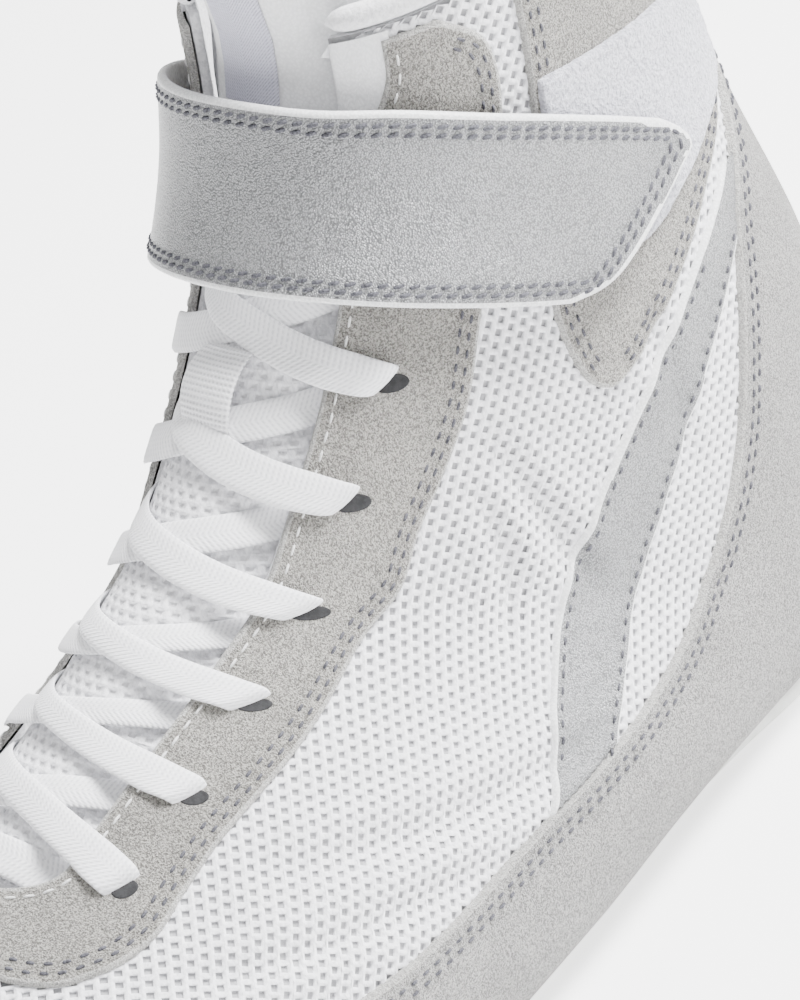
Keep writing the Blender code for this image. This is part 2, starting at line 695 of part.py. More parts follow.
def make_tongue():
    rings = [TONGUE_TOP, TONGUE_TOP + 0.12, TONGUE_TOP * 0.55, TONGUE_TOP * 0.2]
    rings += list(rings_between(0.0, TONGUE_FRONT))
    rings = sorted(set(rings))
    outer = []
    inner = []
    for ring in rings:
        half = tongue_half(ring)
        room = max(throat_half(ring + 0.25) - 0.0016, 0.002)
        spots = [-half, -room, -0.86 * room, -0.5 * room, 0.0, 0.5 * room, 0.86 * room, room, half]
        thin = 0.55 if ring == rings[0] or ring == rings[-1] else 1.0
        outer_row = []
        inner_row = []
        for spot in spots:
            lift = tongue_lift(ring, spot)
            full = TONGUE_THICKNESS * thin * (0.30 + 0.70 * max(1 - (abs(spot) / half) ** 4, 0.0))
            low = min(lift - 0.0010, -UPPER_WALL - full)
            outer_row.append(tongue_base(ring, spot, lift - (1 - thin) * 0.001))
            inner_row.append(tongue_base(ring, spot, low))
        outer.append(outer_row)
        inner.append(inner_row)
    return layer("tongue", [(np.array(outer), np.array(inner), 1)], MESH_LOOK)


def make_tongue_label():
    rings = [TONGUE_TOP + 0.25, TONGUE_TOP * 0.5, 0.0, 0.45]
    spots = np.linspace(-0.62, 0.38, 5) * LABEL_WIDTH
    outer = []
    inner = []
    for ring in rings:
        outer.append([tongue_base(ring, spot, tongue_lift(ring, spot) + CLEARANCE + SUEDE) for spot in spots])
        inner.append([tongue_base(ring, spot, tongue_lift(ring, spot) + CLEARANCE) for spot in spots])
    return layer("tongue_label", [(np.array(outer), np.array(inner), 1)], LABEL_LOOK)


# Lace loop: webbing over the lace near the ankle
LOOP_FIRST_ROW = 5.50
LOOP_LAST_ROW = 6.40
LOOP_CENTRE = -0.0055


def lace_top():
    """Lift of the highest face of the laces, where one crosses over another."""
    return CLEARANCE + SUEDE + LACE_FLOOR + LACE_STAGGER + CROSSING_LIFT + LACE_THICKNESS


def make_lace_loop():
    spots = np.linspace(-0.5, 0.5, 4) * LOOP_WIDTH + LOOP_CENTRE
    rows = np.linspace(LOOP_FIRST_ROW, LOOP_LAST_ROW, 6)
    low = lace_top() + CLEARANCE
    outer = [[across_throat(row, spot, low + LOOP_THICKNESS) for spot in spots] for row in rows]
    inner = [[across_throat(row, spot, low) for spot in spots] for row in rows]
    return layer("lace_loop", [(np.array(outer), np.array(inner), 1)], LACE_LOOK)


# Ankle strap. Columns: share, top_ring, bottom_ring, lift_top, lift_bottom (lifts in metres)
STRAP = np.array([
    (-0.62, 2.55, 4.65, 0.0017, 0.0017),
    (-0.45, 1.87, 4.15, 0.0019, 0.0020),
    (-0.345, 1.45, 3.92, 0.0024, 0.0030),
    (-0.215, 0.97, 3.60, 0.0042, 0.0068),
    (-0.10, 0.74, 3.45, 0.0052, 0.0080),
    (0.035, 0.68, 3.40, 0.0054, 0.0078),
    (0.12, 0.78, 3.42, 0.0050, 0.0068),
    (0.215, 0.97, 3.58, 0.0042, 0.0052),
    (0.345, 1.45, 3.90, 0.0038, 0.0038),
    (0.45, 1.87, 4.15, 0.0037, 0.0037),
    (0.62, 2.55, 4.55, 0.0037, 0.0037),
])
# Free end of the strap. Columns: across (0 top edge, 1 bottom edge), end share
STRAP_END = np.array([(0.0, 0.560), (0.05, 0.592), (0.14, 0.600), (0.25, 0.575), (0.8, 0.450), (0.93, 0.410), (1.0, 0.365)])


def make_strap():
    columns = np.unique(np.concatenate([-SHARES, SHARES, [-0.13, 0.13]]))
    start = STRAP[0, 0]
    outer = []
    inner = []
    for across in STRAP_END[:, 0]:
        end = float(smooth(STRAP_END[:, 0], STRAP_END[:, 1], across))
        shares = np.clip(columns[(columns > start - 0.05) & (columns < STRAP[-1, 0])], start, end)
        outer_row = []
        inner_row = []
        for share in shares:
            top, bottom, lift_top, lift_bottom = smooth(STRAP[:, 0], STRAP[:, 1:], share)
            ring = top + (bottom - top) * across
            lift = lift_top + (lift_bottom - lift_top) * across
            outer_row.append(ring_offset(ring, [share], [lift + STRAP_THICKNESS])[0])
            inner_row.append(ring_offset(ring, [share], [lift])[0])
        outer.append(outer_row)
        inner.append(inner_row)
    return layer("ankle_strap", [(np.array(outer), np.array(inner), 1)], SILVER_LOOK)


# Sole and insole share one way of turning the plan outline into rows across the shoe
def plan_edge(along, side, out):
    """Point of the outline moved out along its normal in plan."""
    point = np.array([along * LENGTH, float(outline(along)[0 if side > 0 else 1])])
    return point + plan_normal(along, side) * out


def lofted(name, levels, across, look):
    """Body lofted along the shoe from side levels (out, height at a share), top first, flat across."""
    stations = (1 - np.cos(np.linspace(0, math.pi, 33))) / 2
    shares = np.linspace(0, 1, across + 2)[1:-1]
    grid = []
    for along in stations:
        lateral = []
        medial = []
        for out, height in levels:
            for side, found in ((1, lateral), (-1, medial)):
                x, y = plan_edge(along, side, out)
                found.append(np.array([x, y, height(min(max(x / LENGTH, 0.0), 1.0))]))
        loop = list(lateral)
        for share in shares:
            spot = lateral[-1] + (medial[-1] - lateral[-1]) * share
            spot[2] = levels[-1][1](min(max(spot[0] / LENGTH, 0.0), 1.0))
            loop.append(spot)
        loop += list(reversed(medial))
        for share in shares:
            spot = medial[0] + (lateral[0] - medial[0]) * share
            spot[2] = levels[0][1](min(max(spot[0] / LENGTH, 0.0), 1.0))
            loop.append(spot)
        grid.append(loop)
    points = np.array(grid).reshape(-1, 3)
    same = first_at_place(points)
    ring = len(grid[0])
    faces = []
    for row in range(len(grid) - 1):
        for corner in range(ring):
            after = (corner + 1) % ring
            here = row * ring
            there = here + ring
            loop = [same[n] for n in (here + corner, here + after, there + after, there + corner)]
            kept = [n for place, n in enumerate(loop) if n != loop[place - 1]]
            if len(set(kept)) > 2:
                faces.append(kept)
    return add_object(name, points, faces, look)


def sole_height(share):
    """Blend between the sole's underside and its top at a share of the side's height."""
    return lambda along: float(underside(along)) + share * (float(feather(along)) - CLEARANCE - float(underside(along)))


def make_groove_cutter():
    """V-shaped grooves across the forefoot and heel treads, as one cutter."""
    points = []
    faces = []
    spans = ((0.045, 0.235, -0.006), (0.56, 0.76, 0.010))
    reach = BALL_WIDTH * 0.62
    for first, last, sweep in spans:
        count = int((last - first) * LENGTH / GROOVE_PITCH)
        for number in range(count + 1):
            x = first * LENGTH + number * GROOVE_PITCH
            plan = [(x, -reach), (x + sweep, 0.0), (x, reach), (x + GROOVE_WIDTH, reach),
                    (x + sweep + GROOVE_WIDTH, 0.0), (x + GROOVE_WIDTH, -reach)]
            start = len(points)
            points += [(px, py, -0.002) for px, py in plan]
            points += [(px, py, GROOVE_DEPTH) for px, py in plan]
            for corner in range(6):
                after = (corner + 1) % 6
                faces.append([start + corner, start + after, start + 6 + after, start + 6 + corner])
            for base in (0, 6):
                faces.append([start + base + n for n in (0, 1, 4, 5)])
                faces.append([start + base + n for n in (1, 2, 3, 4)])
    return as_cutter(add_object("groove_cutter", points, faces, None))


def make_outsole():
    levels = [
        (-0.0006, sole_height(1.0)),
        (SOLE_LIP, sole_height(0.84)),
        (SOLE_LIP, sole_height(0.66)),
        (SOLE_LIP + SOLE_STEP, sole_height(0.60)),
        (SOLE_LIP + SOLE_STEP, sole_height(0.22)),
        (SOLE_LIP - 0.0012, sole_height(0.0)),
    ]
    outsole = lofted("outsole", levels, 1, RUBBER_LOOK)
    cut_with(outsole, make_groove_cutter())
    return outsole


def make_insole():
    inset = -UPPER_WALL - INSOLE_EASE
    levels = [
        (inset - 0.0004, lambda along: float(feather(along)) + CLEARANCE + INSOLE_THICKNESS),
        (inset, lambda along: float(feather(along)) + CLEARANCE + INSOLE_THICKNESS * 0.8),
        (inset, lambda along: float(feather(along))),
    ]
    return lofted("insole", levels, 1, LINING_LOOK)


def main():
    for stale in list(bpy.data.objects):
        bpy.data.objects.remove(stale, do_unlink=True)
    upper = make_upper()
    eyestay = make_eyestay()
    cutter = make_eyelet_cutter()
    cut_with(upper, cutter)
    cut_with(eyestay, cutter)
    make_foxing()
    make_ankle_panel("ankle_panel_lateral", 1)
    make_ankle_panel("ankle_panel_medial", -1)
    make_loop_patch()
    make_side_band("side_band_lateral", 1)
    make_side_band("side_band_medial", -1)
    make_cuff()
    make_tongue()
    make_tongue_label()
    make_laces()
    make_lace_loop()
    make_strap()
    make_outsole()
    make_insole()


main()
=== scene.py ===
"""Looks of the ankle-high wrestling shoe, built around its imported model.

The surface of the last is worked out here again from the part's own sizes and tables. Places on it
are given as a ring (0 collar, 8 heel, 20 toe) and a signed share of the way down a side (0 top
centre, 1 lateral, -1 medial). Points are worked out from the back of the heel, in metres.
"""

import math

import bpy
import numpy as np
from mathutils import Matrix, Vector
from mathutils.kdtree import KDTree


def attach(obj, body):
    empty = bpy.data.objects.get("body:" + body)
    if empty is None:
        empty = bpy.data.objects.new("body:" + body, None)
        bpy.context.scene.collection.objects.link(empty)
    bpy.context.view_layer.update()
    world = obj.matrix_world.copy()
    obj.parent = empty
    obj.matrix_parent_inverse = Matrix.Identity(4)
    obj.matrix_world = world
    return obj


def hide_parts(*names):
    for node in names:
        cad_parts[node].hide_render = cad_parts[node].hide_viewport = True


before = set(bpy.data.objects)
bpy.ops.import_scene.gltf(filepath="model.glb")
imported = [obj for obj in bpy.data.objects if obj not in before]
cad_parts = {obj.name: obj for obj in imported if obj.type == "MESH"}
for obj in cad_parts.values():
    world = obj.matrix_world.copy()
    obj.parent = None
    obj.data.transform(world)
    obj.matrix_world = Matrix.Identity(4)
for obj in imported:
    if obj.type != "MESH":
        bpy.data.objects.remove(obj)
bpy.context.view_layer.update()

# Sizes of the last, as in the part
LENGTH = 0.288
BALL_WIDTH = 0.0965
ANKLE_WIDTH = 0.068
INSTEP_HEIGHT = 0.094
COLLAR_HEIGHT = 0.170
SOLE_EDGE = 0.010
HEEL_SEAT = 0.041
CLEARANCE = 0.0004
UPPER_WALL = 0.0020
SUEDE = 0.0009
STRAP_THICKNESS = 0.0017
CUFF_RADIUS = 0.0022
THROAT_WIDTH = 0.033
EYELET_EDGE = 0.0075
EYELET_RADIUS = 0.0022
EYELET_PITCH = 0.0193
LACE_WIDTH = 0.0068
LACE_THICKNESS = 0.0009
TONGUE_MARGIN = 0.0085
TONGUE_THICKNESS = 0.0050
TONGUE_BULGE = 0.0032
TONGUE_RISE = 0.018
LABEL_WIDTH = 0.013
LOOP_WIDTH = 0.010
SOLE_LIP = 0.0008
SOLE_STEP = 0.0006
GROOVE_WIDTH = 0.0022
GROOVE_DEPTH = 0.0012
GROOVE_PITCH = 0.0130

# Plan outline of the feather line. Columns: along (share of LENGTH), lateral, medial (shares of BALL_WIDTH)
OUTLINE = np.array([
    (0.00, 0.000, 0.000),
    (0.03, 0.207, -0.202),
    (0.08, 0.285, -0.280),
    (0.16, 0.326, -0.316),
    (0.25, 0.342, -0.306),
    (0.35, 0.363, -0.280),
    (0.45, 0.409, -0.290),
    (0.55, 0.456, -0.342),
    (0.64, 0.482, -0.399),
    (0.72, 0.472, -0.435),
    (0.80, 0.420, -0.435),
    (0.87, 0.332, -0.399),
    (0.93, 0.207, -0.326),
    (0.97, 0.093, -0.238),
    (1.00, -0.073, -0.073),
])
# Heights along the length. Columns: along (share of LENGTH), feather, underside (shares of SOLE_EDGE)
HEIGHTS = np.array([
    (0.00, 0.95, 0.25),
    (0.04, 0.88, 0.00),
    (0.10, 0.80, 0.00),
    (0.27, 0.78, 0.00),
    (0.33, 0.76, 0.28),
    (0.44, 0.67, 0.25),
    (0.52, 0.60, 0.00),
    (0.62, 0.55, 0.00),
    (0.77, 0.58, 0.00),
    (0.86, 0.80, 0.16),
    (0.93, 1.10, 0.45),
    (1.00, 1.50, 0.95),
])
# Leg sections, collar to heel. Columns: top_along, top_height, end_along, end_height, lateral, medial,
# peak, top_power, low_power (along by LENGTH, height by COLLAR_HEIGHT, sides by ANKLE_WIDTH)
LEG = np.array([
    (0.378, 0.988, 0.083, 1.035, 0.500, -0.500, 0.50, 2.30, 2.2),
    (0.384, 0.918, 0.076, 0.900, 0.500, -0.500, 0.50, 2.30, 2.2),
    (0.396, 0.844, 0.066, 0.788, 0.507, -0.507, 0.50, 2.20, 2.2),
    (0.415, 0.776, 0.050, 0.671, 0.522, -0.522, 0.51, 2.15, 2.2),
    (0.441, 0.715, 0.028, 0.559, 0.544, -0.544, 0.53, 2.10, 2.2),
    (0.470, 0.662, 0.009, 0.435, 0.559, -0.559, 0.56, 2.05, 2.2),
    (0.503, 0.618, 0.000, 0.306, 0.565, -0.557, 0.60, 2.00, 2.1),
    (0.536, 0.576, 0.000, 0.176, 0.571, -0.555, 0.62, 1.95, 2.0),
])
# Foot sections, heel to toe. Columns: top_along, top_height, top_shift, end_along, lateral, medial,
# peak, top_power, low_power (along by LENGTH, height by INSTEP_HEIGHT, shift and sides by BALL_WIDTH)
FOOT = np.array([
    (0.557, 1.000, 0.000, 0.000, 0.407, -0.390, 0.64, 1.92, 2.0),
    (0.578, 0.963, -0.005, 0.042, 0.420, -0.393, 0.66, 1.90, 2.1),
    (0.606, 0.910, -0.010, 0.132, 0.447, -0.397, 0.69, 1.90, 2.2),
    (0.635, 0.851, -0.016, 0.250, 0.482, -0.404, 0.71, 1.95, 2.4),
    (0.674, 0.787, -0.021, 0.389, 0.508, -0.425, 0.71, 2.00, 2.4),
    (0.715, 0.718, -0.031, 0.521, 0.523, -0.461, 0.71, 2.10, 2.4),
    (0.764, 0.660, -0.041, 0.639, 0.513, -0.487, 0.70, 2.20, 2.4),
    (0.819, 0.604, -0.052, 0.740, 0.466, -0.487, 0.68, 2.30, 2.3),
    (0.872, 0.548, -0.062, 0.819, 0.394, -0.451, 0.66, 2.40, 2.3),
    (0.913, 0.479, -0.067, 0.882, 0.301, -0.389, 0.64, 2.40, 2.3),
    (0.948, 0.404, -0.073, 0.929, 0.202, -0.316, 0.62, 2.30, 2.2),
    (0.977, 0.309, -0.073, 0.967, 0.088, -0.223, 0.60, 2.20, 2.2),
    (1.000, 0.160, -0.073, 1.000, -0.073, -0.073, 0.60, 2.00, 2.0),
])
HEEL_RING = len(LEG)
CUPPED_RINGS = 4.0
TOE_RING = len(LEG) + len(FOOT) - 1
THROAT_SHOULDER = 12.75
THROAT_END = 13.35


def smooth(xs, ys, x):
    """Catmull-Rom curve through the rows (xs, ys), read at x and held at both ends."""
    xs = np.asarray(xs, float)
    ys = np.asarray(ys, float)
    slope = np.empty_like(ys)
    wide = (xs[2:] - xs[:-2]).reshape((-1,) + (1,) * (ys.ndim - 1))
    slope[1:-1] = (ys[2:] - ys[:-2]) / wide
    slope[0] = (ys[1] - ys[0]) / (xs[1] - xs[0])
    slope[-1] = (ys[-1] - ys[-2]) / (xs[-1] - xs[-2])
    x = np.clip(np.asarray(x, float), xs[0], xs[-1])
    i = np.clip(np.searchsorted(xs, x, side="right") - 1, 0, len(xs) - 2)
    step = xs[i + 1] - xs[i]
    t = (x - xs[i]) / step
    if ys.ndim > 1:
        t = t[..., None]
        step = step[..., None]
    near = (2 * t ** 3 - 3 * t ** 2 + 1) * ys[i] + (t ** 3 - 2 * t ** 2 + t) * step * slope[i]
    far = (-2 * t ** 3 + 3 * t ** 2) * ys[i + 1] + (t ** 3 - t ** 2) * step * slope[i + 1]
    return near + far


def unit(vectors):
    """Vectors brought to a length of 1."""
    return vectors / np.linalg.norm(vectors, axis=-1, keepdims=True)


def run_along(points):
    """Distance along a line of points, from 0 at the first."""
    return np.concatenate([[0.0], np.cumsum(np.linalg.norm(np.diff(points, axis=0), axis=1))])


def eased(share):
    """Share from 0 to 1 with a soft start and end."""
    return share * share * (3 - 2 * share)


def tree_over(spots):
    """Search tree over points, numbered in their order."""
    tree = KDTree(len(spots))
    for number, spot in enumerate(spots):
        tree.insert(spot, number)
    tree.balance()
    return tree


def gaps_to(tree, points):
    """Distance of each point of a grid from the nearest point of a tree."""
    return np.array([tree.find(point)[2] for point in points.reshape(-1, 3)]).reshape(points.shape[:2])


def bunched(along):
    """Position along the length, spaced so that the round ends read as round."""
    return np.arccos(np.clip(1 - 2 * np.asarray(along, float), -1, 1)) / math.pi


def outline(along):
    """Lateral and medial y of the feather line at a share of the length."""
    sides = smooth(bunched(OUTLINE[:, 0]), OUTLINE[:, 1:], bunched(along)) * BALL_WIDTH
    return sides[..., 0], sides[..., 1]


def feather(along):
    """Height of the feather line at a share of the length."""
    return smooth(HEIGHTS[:, 0], HEIGHTS[:, 1], along) * SOLE_EDGE


def underside(along):
    """Height of the sole's underside at a share of the length."""
    return np.maximum(smooth(HEIGHTS[:, 0], HEIGHTS[:, 2], along), 0.0) * SOLE_EDGE


def section_rows():
    """Both section tables in metres: top x, z, y, end along, end z, lateral, medial, peak and powers."""
    rows = []
    for row in LEG:
        top_along, top_height, end_along, end_height, lateral, medial = row[:6]
        rows.append((top_along * LENGTH, top_height * COLLAR_HEIGHT, 0.0, end_along,
                     end_height * COLLAR_HEIGHT, lateral * ANKLE_WIDTH, medial * ANKLE_WIDTH, *row[6:]))
    for row in FOOT:
        top_along, top_height, shift, end_along, lateral, medial = row[:6]
        rows.append((top_along * LENGTH, top_height * INSTEP_HEIGHT, shift * BALL_WIDTH, end_along,
                     float(feather(end_along)), lateral * BALL_WIDTH, medial * BALL_WIDTH, *row[6:]))
    return np.array(rows)


SECTIONS = section_rows()


def ring_curve(ring, side, t):
    """Points of one side of a ring, t 0 at the top centre and 1 at the back centre or feather line."""
    row = smooth(np.arange(len(SECTIONS)), SECTIONS, ring)
    top_x, top_z, top_y, end_along, end_z, lateral, medial, peak, top_power, low_power = row
    end_along = min(max(end_along, 0.0), 1.0)
    end_y = 0.0
    if ring > HEEL_RING:
        end_y = float(outline(end_along)[0 if side > 0 else 1])
        end_z = float(feather(end_along))
    widest = max(lateral, end_y) if side > 0 else min(medial, end_y)
    upper = np.clip(1 - t / peak, 0, 1)
    lower = np.clip((t - peak) / (1 - peak), 0, 1)
    y_top = top_y + (widest - top_y) * (1 - upper ** top_power) ** (1 / top_power)
    rolled = end_y + (widest - end_y) * (1 - lower ** low_power) ** (1 / low_power)
    big, small = abs(widest) ** low_power, abs(end_y) ** low_power
    cupped = side * (big - (big - small) * lower ** low_power) ** (1 / low_power)
    roll = eased(min(max((ring - HEEL_RING) / CUPPED_RINGS, 0.0), 1.0))
    y = np.where(t < peak, y_top, cupped + (rolled - cupped) * roll)
    x = top_x + (end_along * LENGTH - top_x) * t
    z = top_z + (end_z - top_z) * t
    return np.stack([x, y, z], -1)


RING_SAMPLES = (1 - np.cos(np.linspace(0, math.pi, 161))) / 2


def ring_points(ring, shares):
    """Points of a ring at signed arc shares: 0 top centre, +1 lateral end, -1 medial end."""
    ring = min(max(ring, 0.0), float(TOE_RING))
    shares = np.asarray(shares, float)
    if ring <= HEEL_RING:
        shares = np.where(shares > 1, shares - 2, np.where(shares < -1, shares + 2, shares))
    shares = np.clip(shares, -1, 1)
    found = np.empty(shares.shape + (3,))
    if ring >= TOE_RING:
        found[:] = (LENGTH, OUTLINE[-1, 1] * BALL_WIDTH, float(feather(1.0)))
        return found
    for side in (1, -1):
        curve = ring_curve(ring, side, RING_SAMPLES)
        run = run_along(curve)
        t = np.interp(np.abs(shares) * run[-1], run, RING_SAMPLES)
        points = ring_curve(ring, side, t)
        mine = shares >= 0 if side > 0 else shares < 0
        found[mine] = points[mine]
    return found


def plan_normal(along, side):
    """Outward normal in plan of the feather line at a share of the length."""
    place = float(bunched(along))
    spread = 0.004
    nearby = []
    for spot in (place - spread, place + spread):
        share = (1 - math.cos(math.pi * spot)) / 2
        y = float(outline(share)[0 if side > 0 else 1])
        if spot < 0:
            y = -y
        if spot > 1:
            y = 2 * OUTLINE[-1, 1] * BALL_WIDTH - y
        nearby.append(np.array([share * LENGTH, y]))
    tangent = (nearby[1] - nearby[0]) / np.linalg.norm(nearby[1] - nearby[0])
    return np.array([-tangent[1], tangent[0]]) * side


def ring_normals(ring, shares):
    """Outward normals along a ring, level beside the feather line."""
    nudge_ring = 0.06 if ring <= HEEL_RING else 0.25
    nudge_share = 0.015
    if ring >= TOE_RING:
        return np.tile([1.0, 0.0, 0.0], (len(shares), 1))
    next_ring = ring if ring <= HEEL_RING < ring + nudge_ring else ring + nudge_ring
    last_ring = ring - nudge_ring if ring <= HEEL_RING else max(ring - nudge_ring, HEEL_RING)
    along = ring_points(next_ring, shares) - ring_points(last_ring, shares)
    around = ring_points(ring, shares + nudge_share) - ring_points(ring, shares - nudge_share)
    normal = np.cross(along, around)
    if ring <= HEEL_RING:
        normal[np.abs(shares) >= 1, 1] = 0.0
    normal = unit(normal)
    if ring > HEEL_RING:
        end_along = float(smooth(np.arange(len(SECTIONS)), SECTIONS[:, 3], ring))
        for side in (1, -1):
            level = np.append(plan_normal(end_along, side), 0.0)
            fade = np.clip((shares * side - 0.80) / 0.20, 0, 1)[:, None]
            normal = normal * (1 - fade) + level * fade
        normal = unit(normal)
    return normal


class Surface:
    """Grid of points and outward normals, read at any row and column with a lift."""

    def __init__(self, rows, columns, points, normals):
        self.rows = rows
        self.columns = columns
        self.points = points
        self.normals = normals

    def at(self, row, column, lift):
        """Points at rows and columns, raised along the normals."""
        row, column, lift = np.broadcast_arrays(np.asarray(row, float), column, lift)
        i = np.clip(np.searchsorted(self.rows, row, side="right") - 1, 0, len(self.rows) - 2)
        j = np.clip(np.searchsorted(self.columns, column, side="right") - 1, 0, len(self.columns) - 2)
        u = np.clip((row - self.rows[i]) / (self.rows[i + 1] - self.rows[i]), 0, 1)[..., None]
        v = np.clip((column - self.columns[j]) / (self.columns[j + 1] - self.columns[j]), 0, 1)[..., None]
        found = []
        for grid in (self.points, self.normals):
            near = grid[i, j] * (1 - v) + grid[i, j + 1] * v
            far = grid[i + 1, j] * (1 - v) + grid[i + 1, j + 1] * v
            found.append(near * (1 - u) + far * u)
        return found[0] + unit(found[1]) * lift[..., None]


# Creases. Columns: ring and share of one end, of the middle and of the other end, half
# width, depth (metres)
CREASES = [
    (5.6, 0.275, 6.9, 0.360, 8.1, 0.420, 0.0024, 0.0010),
    (6.1, 0.265, 7.6, 0.315, 9.2, 0.370, 0.0020, 0.0007),
    (10.5, 0.600, 11.4, 0.500, 12.2, 0.345, 0.0026, 0.0009),
    (11.7, 0.610, 12.6, 0.520, 13.4, 0.420, 0.0022, 0.0007),
    (12.8, 0.610, 13.9, 0.500, 14.6, 0.360, 0.0024, 0.0006),
    (4.2, 0.480, 5.4, 0.500, 6.4, 0.530, 0.0022, 0.0005),
    (5.6, -0.275, 6.9, -0.380, 8.0, -0.440, 0.0024, 0.0010),
    (6.4, -0.265, 7.9, -0.320, 9.4, -0.400, 0.0022, 0.0008),
    (10.7, -0.600, 11.6, -0.480, 12.3, -0.330, 0.0026, 0.0010),
    (12.2, -0.600, 13.2, -0.480, 13.9, -0.360, 0.0024, 0.0009),
    (3.0, 0.930, 3.4, 1.000, 3.4, 0.998, 0.0040, 0.0010),
    (4.3, 0.930, 4.7, 0.990, 4.8, 0.998, 0.0040, 0.0009),
    (3.0, -0.930, 3.4, -1.000, 3.4, -0.998, 0.0040, 0.0010),
    (4.3, -0.930, 4.7, -0.990, 4.8, -0.998, 0.0040, 0.0009),
]
# All depths of the table are multiplied by this; the ridge beside a trough by its own share
CREASE_DEPTH = 1.4
CREASE_RIDGE = 0.45


def crease_depth(points, base):
    """How far each point sinks (below 0) or swells (above 0) beside the creases."""
    depth = np.zeros(points.shape[:2])
    for crease in CREASES:
        first, middle, last = base.at(crease[0:6:2], crease[1:6:2], 0.0)
        t = np.linspace(0, 1, 25)[:, None]
        bend = 2 * middle - (first + last) / 2
        path = first * (1 - t) ** 2 + 2 * bend * t * (1 - t) + last * t ** 2
        half, deep = crease[6], CREASE_DEPTH * crease[7]
        best = np.full(points.shape[:2], 1.0)
        fade = np.zeros(points.shape[:2])
        for place, spot in enumerate(path):
            far = np.linalg.norm(points - spot, axis=2)
            nearer = far < best
            best[nearer] = far[nearer]
            fade[nearer] = math.sin(math.pi * (place + 0.5) / len(path)) ** 0.5
        trough = -deep * np.exp(-(best / half) ** 2)
        ridge = CREASE_RIDGE * deep * np.exp(-((best - 2.3 * half) / (1.1 * half)) ** 2)
        depth += (trough + ridge) * fade
    return depth


# How far the outer waist is drawn in beside the arch, at most, and where along the shoe
WAIST_TUCK = 0.0024
WAIST_FROM = 0.020
WAIST_TO = 0.122


def waist_tuck(x):
    """Sideways draw of the outer waist at a distance from the back of the heel."""
    return WAIST_TUCK * np.sin(math.pi * np.clip((x - WAIST_FROM) / (WAIST_TO - WAIST_FROM), 0, 1)) ** 1.5


# How many rings the blend beside the heel ring reads on each side, and how far it is felt
BLEND_SPREAD = 0.45
BLEND_REACH = 2.2


def blend_rows(grid, rings, shares):
    """Grid averaged along the rings beside the heel ring, where the two tables of sections meet."""
    step = rings[1] - rings[0]
    count = int(2.5 * BLEND_SPREAD / step)
    offsets = np.arange(-count, count + 1)
    weight = np.exp(-0.5 * (offsets * step / BLEND_SPREAD) ** 2)
    weight = weight / weight.sum()
    soft = grid.copy()
    for row in np.where(np.abs(rings - HEEL_RING) < BLEND_REACH)[0]:
        soft[row] = np.tensordot(weight, grid[row + offsets], axes=1)
    beside = np.clip((BLEND_REACH - np.abs(rings - HEEL_RING)) / 1.0, 0, 1)
    inner = eased(np.clip((0.90 - np.abs(shares)) / 0.22, 0, 1))
    part = (beside[:, None] * inner[None, :])[..., None]
    return grid * (1 - part) + soft * part


def make_skin():
    """The last's surface without and with creases, drawn in at the outer waist."""
    rings = np.linspace(0, TOE_RING, 401)
    shares = np.linspace(-1, 1, 321)
    points = np.array([ring_points(ring, shares) for ring in rings])
    normals = np.array([ring_normals(ring, shares) for ring in rings])
    points = blend_rows(points, rings, shares)
    normals = unit(blend_rows(normals, rings, shares))
    low = eased(np.clip((shares[None, :] - 0.62) / 0.30, 0, 1)) * (rings[:, None] > HEEL_RING)
    points[..., 1] -= waist_tuck(points[..., 0]) * low
    plain = Surface(rings, shares, points, normals)
    creased = points + normals * crease_depth(points, plain)[..., None]
    return plain, Surface(rings, shares, creased, normals)


PLAIN_SKIN, SKIN = make_skin()
SIDE_RUN = {}
for side in (1, -1):
    half = SKIN.points[:, SKIN.columns * side >= 0]
    SIDE_RUN[side] = np.linalg.norm(np.diff(half, axis=1), axis=2).sum(1)
SKIN_SPOTS = SKIN.points[::2, ::2].reshape(-1, 3)
SKIN_NORMALS = SKIN.normals[::2, ::2].reshape(-1, 3)
SKIN_TREE = tree_over(SKIN_SPOTS)


def run_at(ring, side):
    """Length of one side of a ring, from its top centre to its end."""
    return np.interp(ring, SKIN.rows, SIDE_RUN[side])


def settle(points, lift):
    """Points moved to a given lift over the nearest part of the skin, and the normals there."""
    nearest = np.array([SKIN_TREE.find(point)[1] for point in points])
    normal = SKIN_NORMALS[nearest]
    height = ((points - SKIN_SPOTS[nearest]) * normal).sum(1)
    return points + normal * (lift - height)[:, None], normal


def share_at(ring, reaches):
    """Signed shares where the surface lies the given signed distances beside the top centre."""
    samples = np.linspace(0, 0.5, 121)
    reaches = np.asarray(reaches, float)
    found = np.zeros(len(reaches))
    for side in (1, -1):
        points = ring_points(ring, samples * side)
        across = np.maximum.accumulate(np.abs(points[:, 1] - points[0, 1]))
        mine = reaches * side > 0
        found[mine] = side * np.interp(np.abs(reaches[mine]), across, samples)
    return found


def make_across():
    """Surface over the throat in rings and signed distance from the top centre."""
    rings = np.linspace(0, 14.5, 291)
    reaches = np.linspace(-0.032, 0.032, 65)
    shares = np.array([share_at(ring, reaches) for ring in rings])
    points = SKIN.at(rings[:, None], shares, 0.0)
    normals = SKIN.at(rings[:, None], shares, 1.0) - points
    return Surface(rings, reaches, points, normals)


ACROSS = make_across()


def table_curve(rows):
    """Curve through a short table of (ring, share) rows."""
    rows = np.array(rows)
    return lambda ring: smooth(rows[:, 0], rows[:, 1], ring)


def throat_half(ring):
    """Half width of the throat opening at rings."""
    gone = np.clip((np.asarray(ring, float) - THROAT_SHOULDER) / (THROAT_END - THROAT_SHOULDER), 0, 1)
    return THROAT_WIDTH / 2 * np.sqrt(1 - gone ** 2)


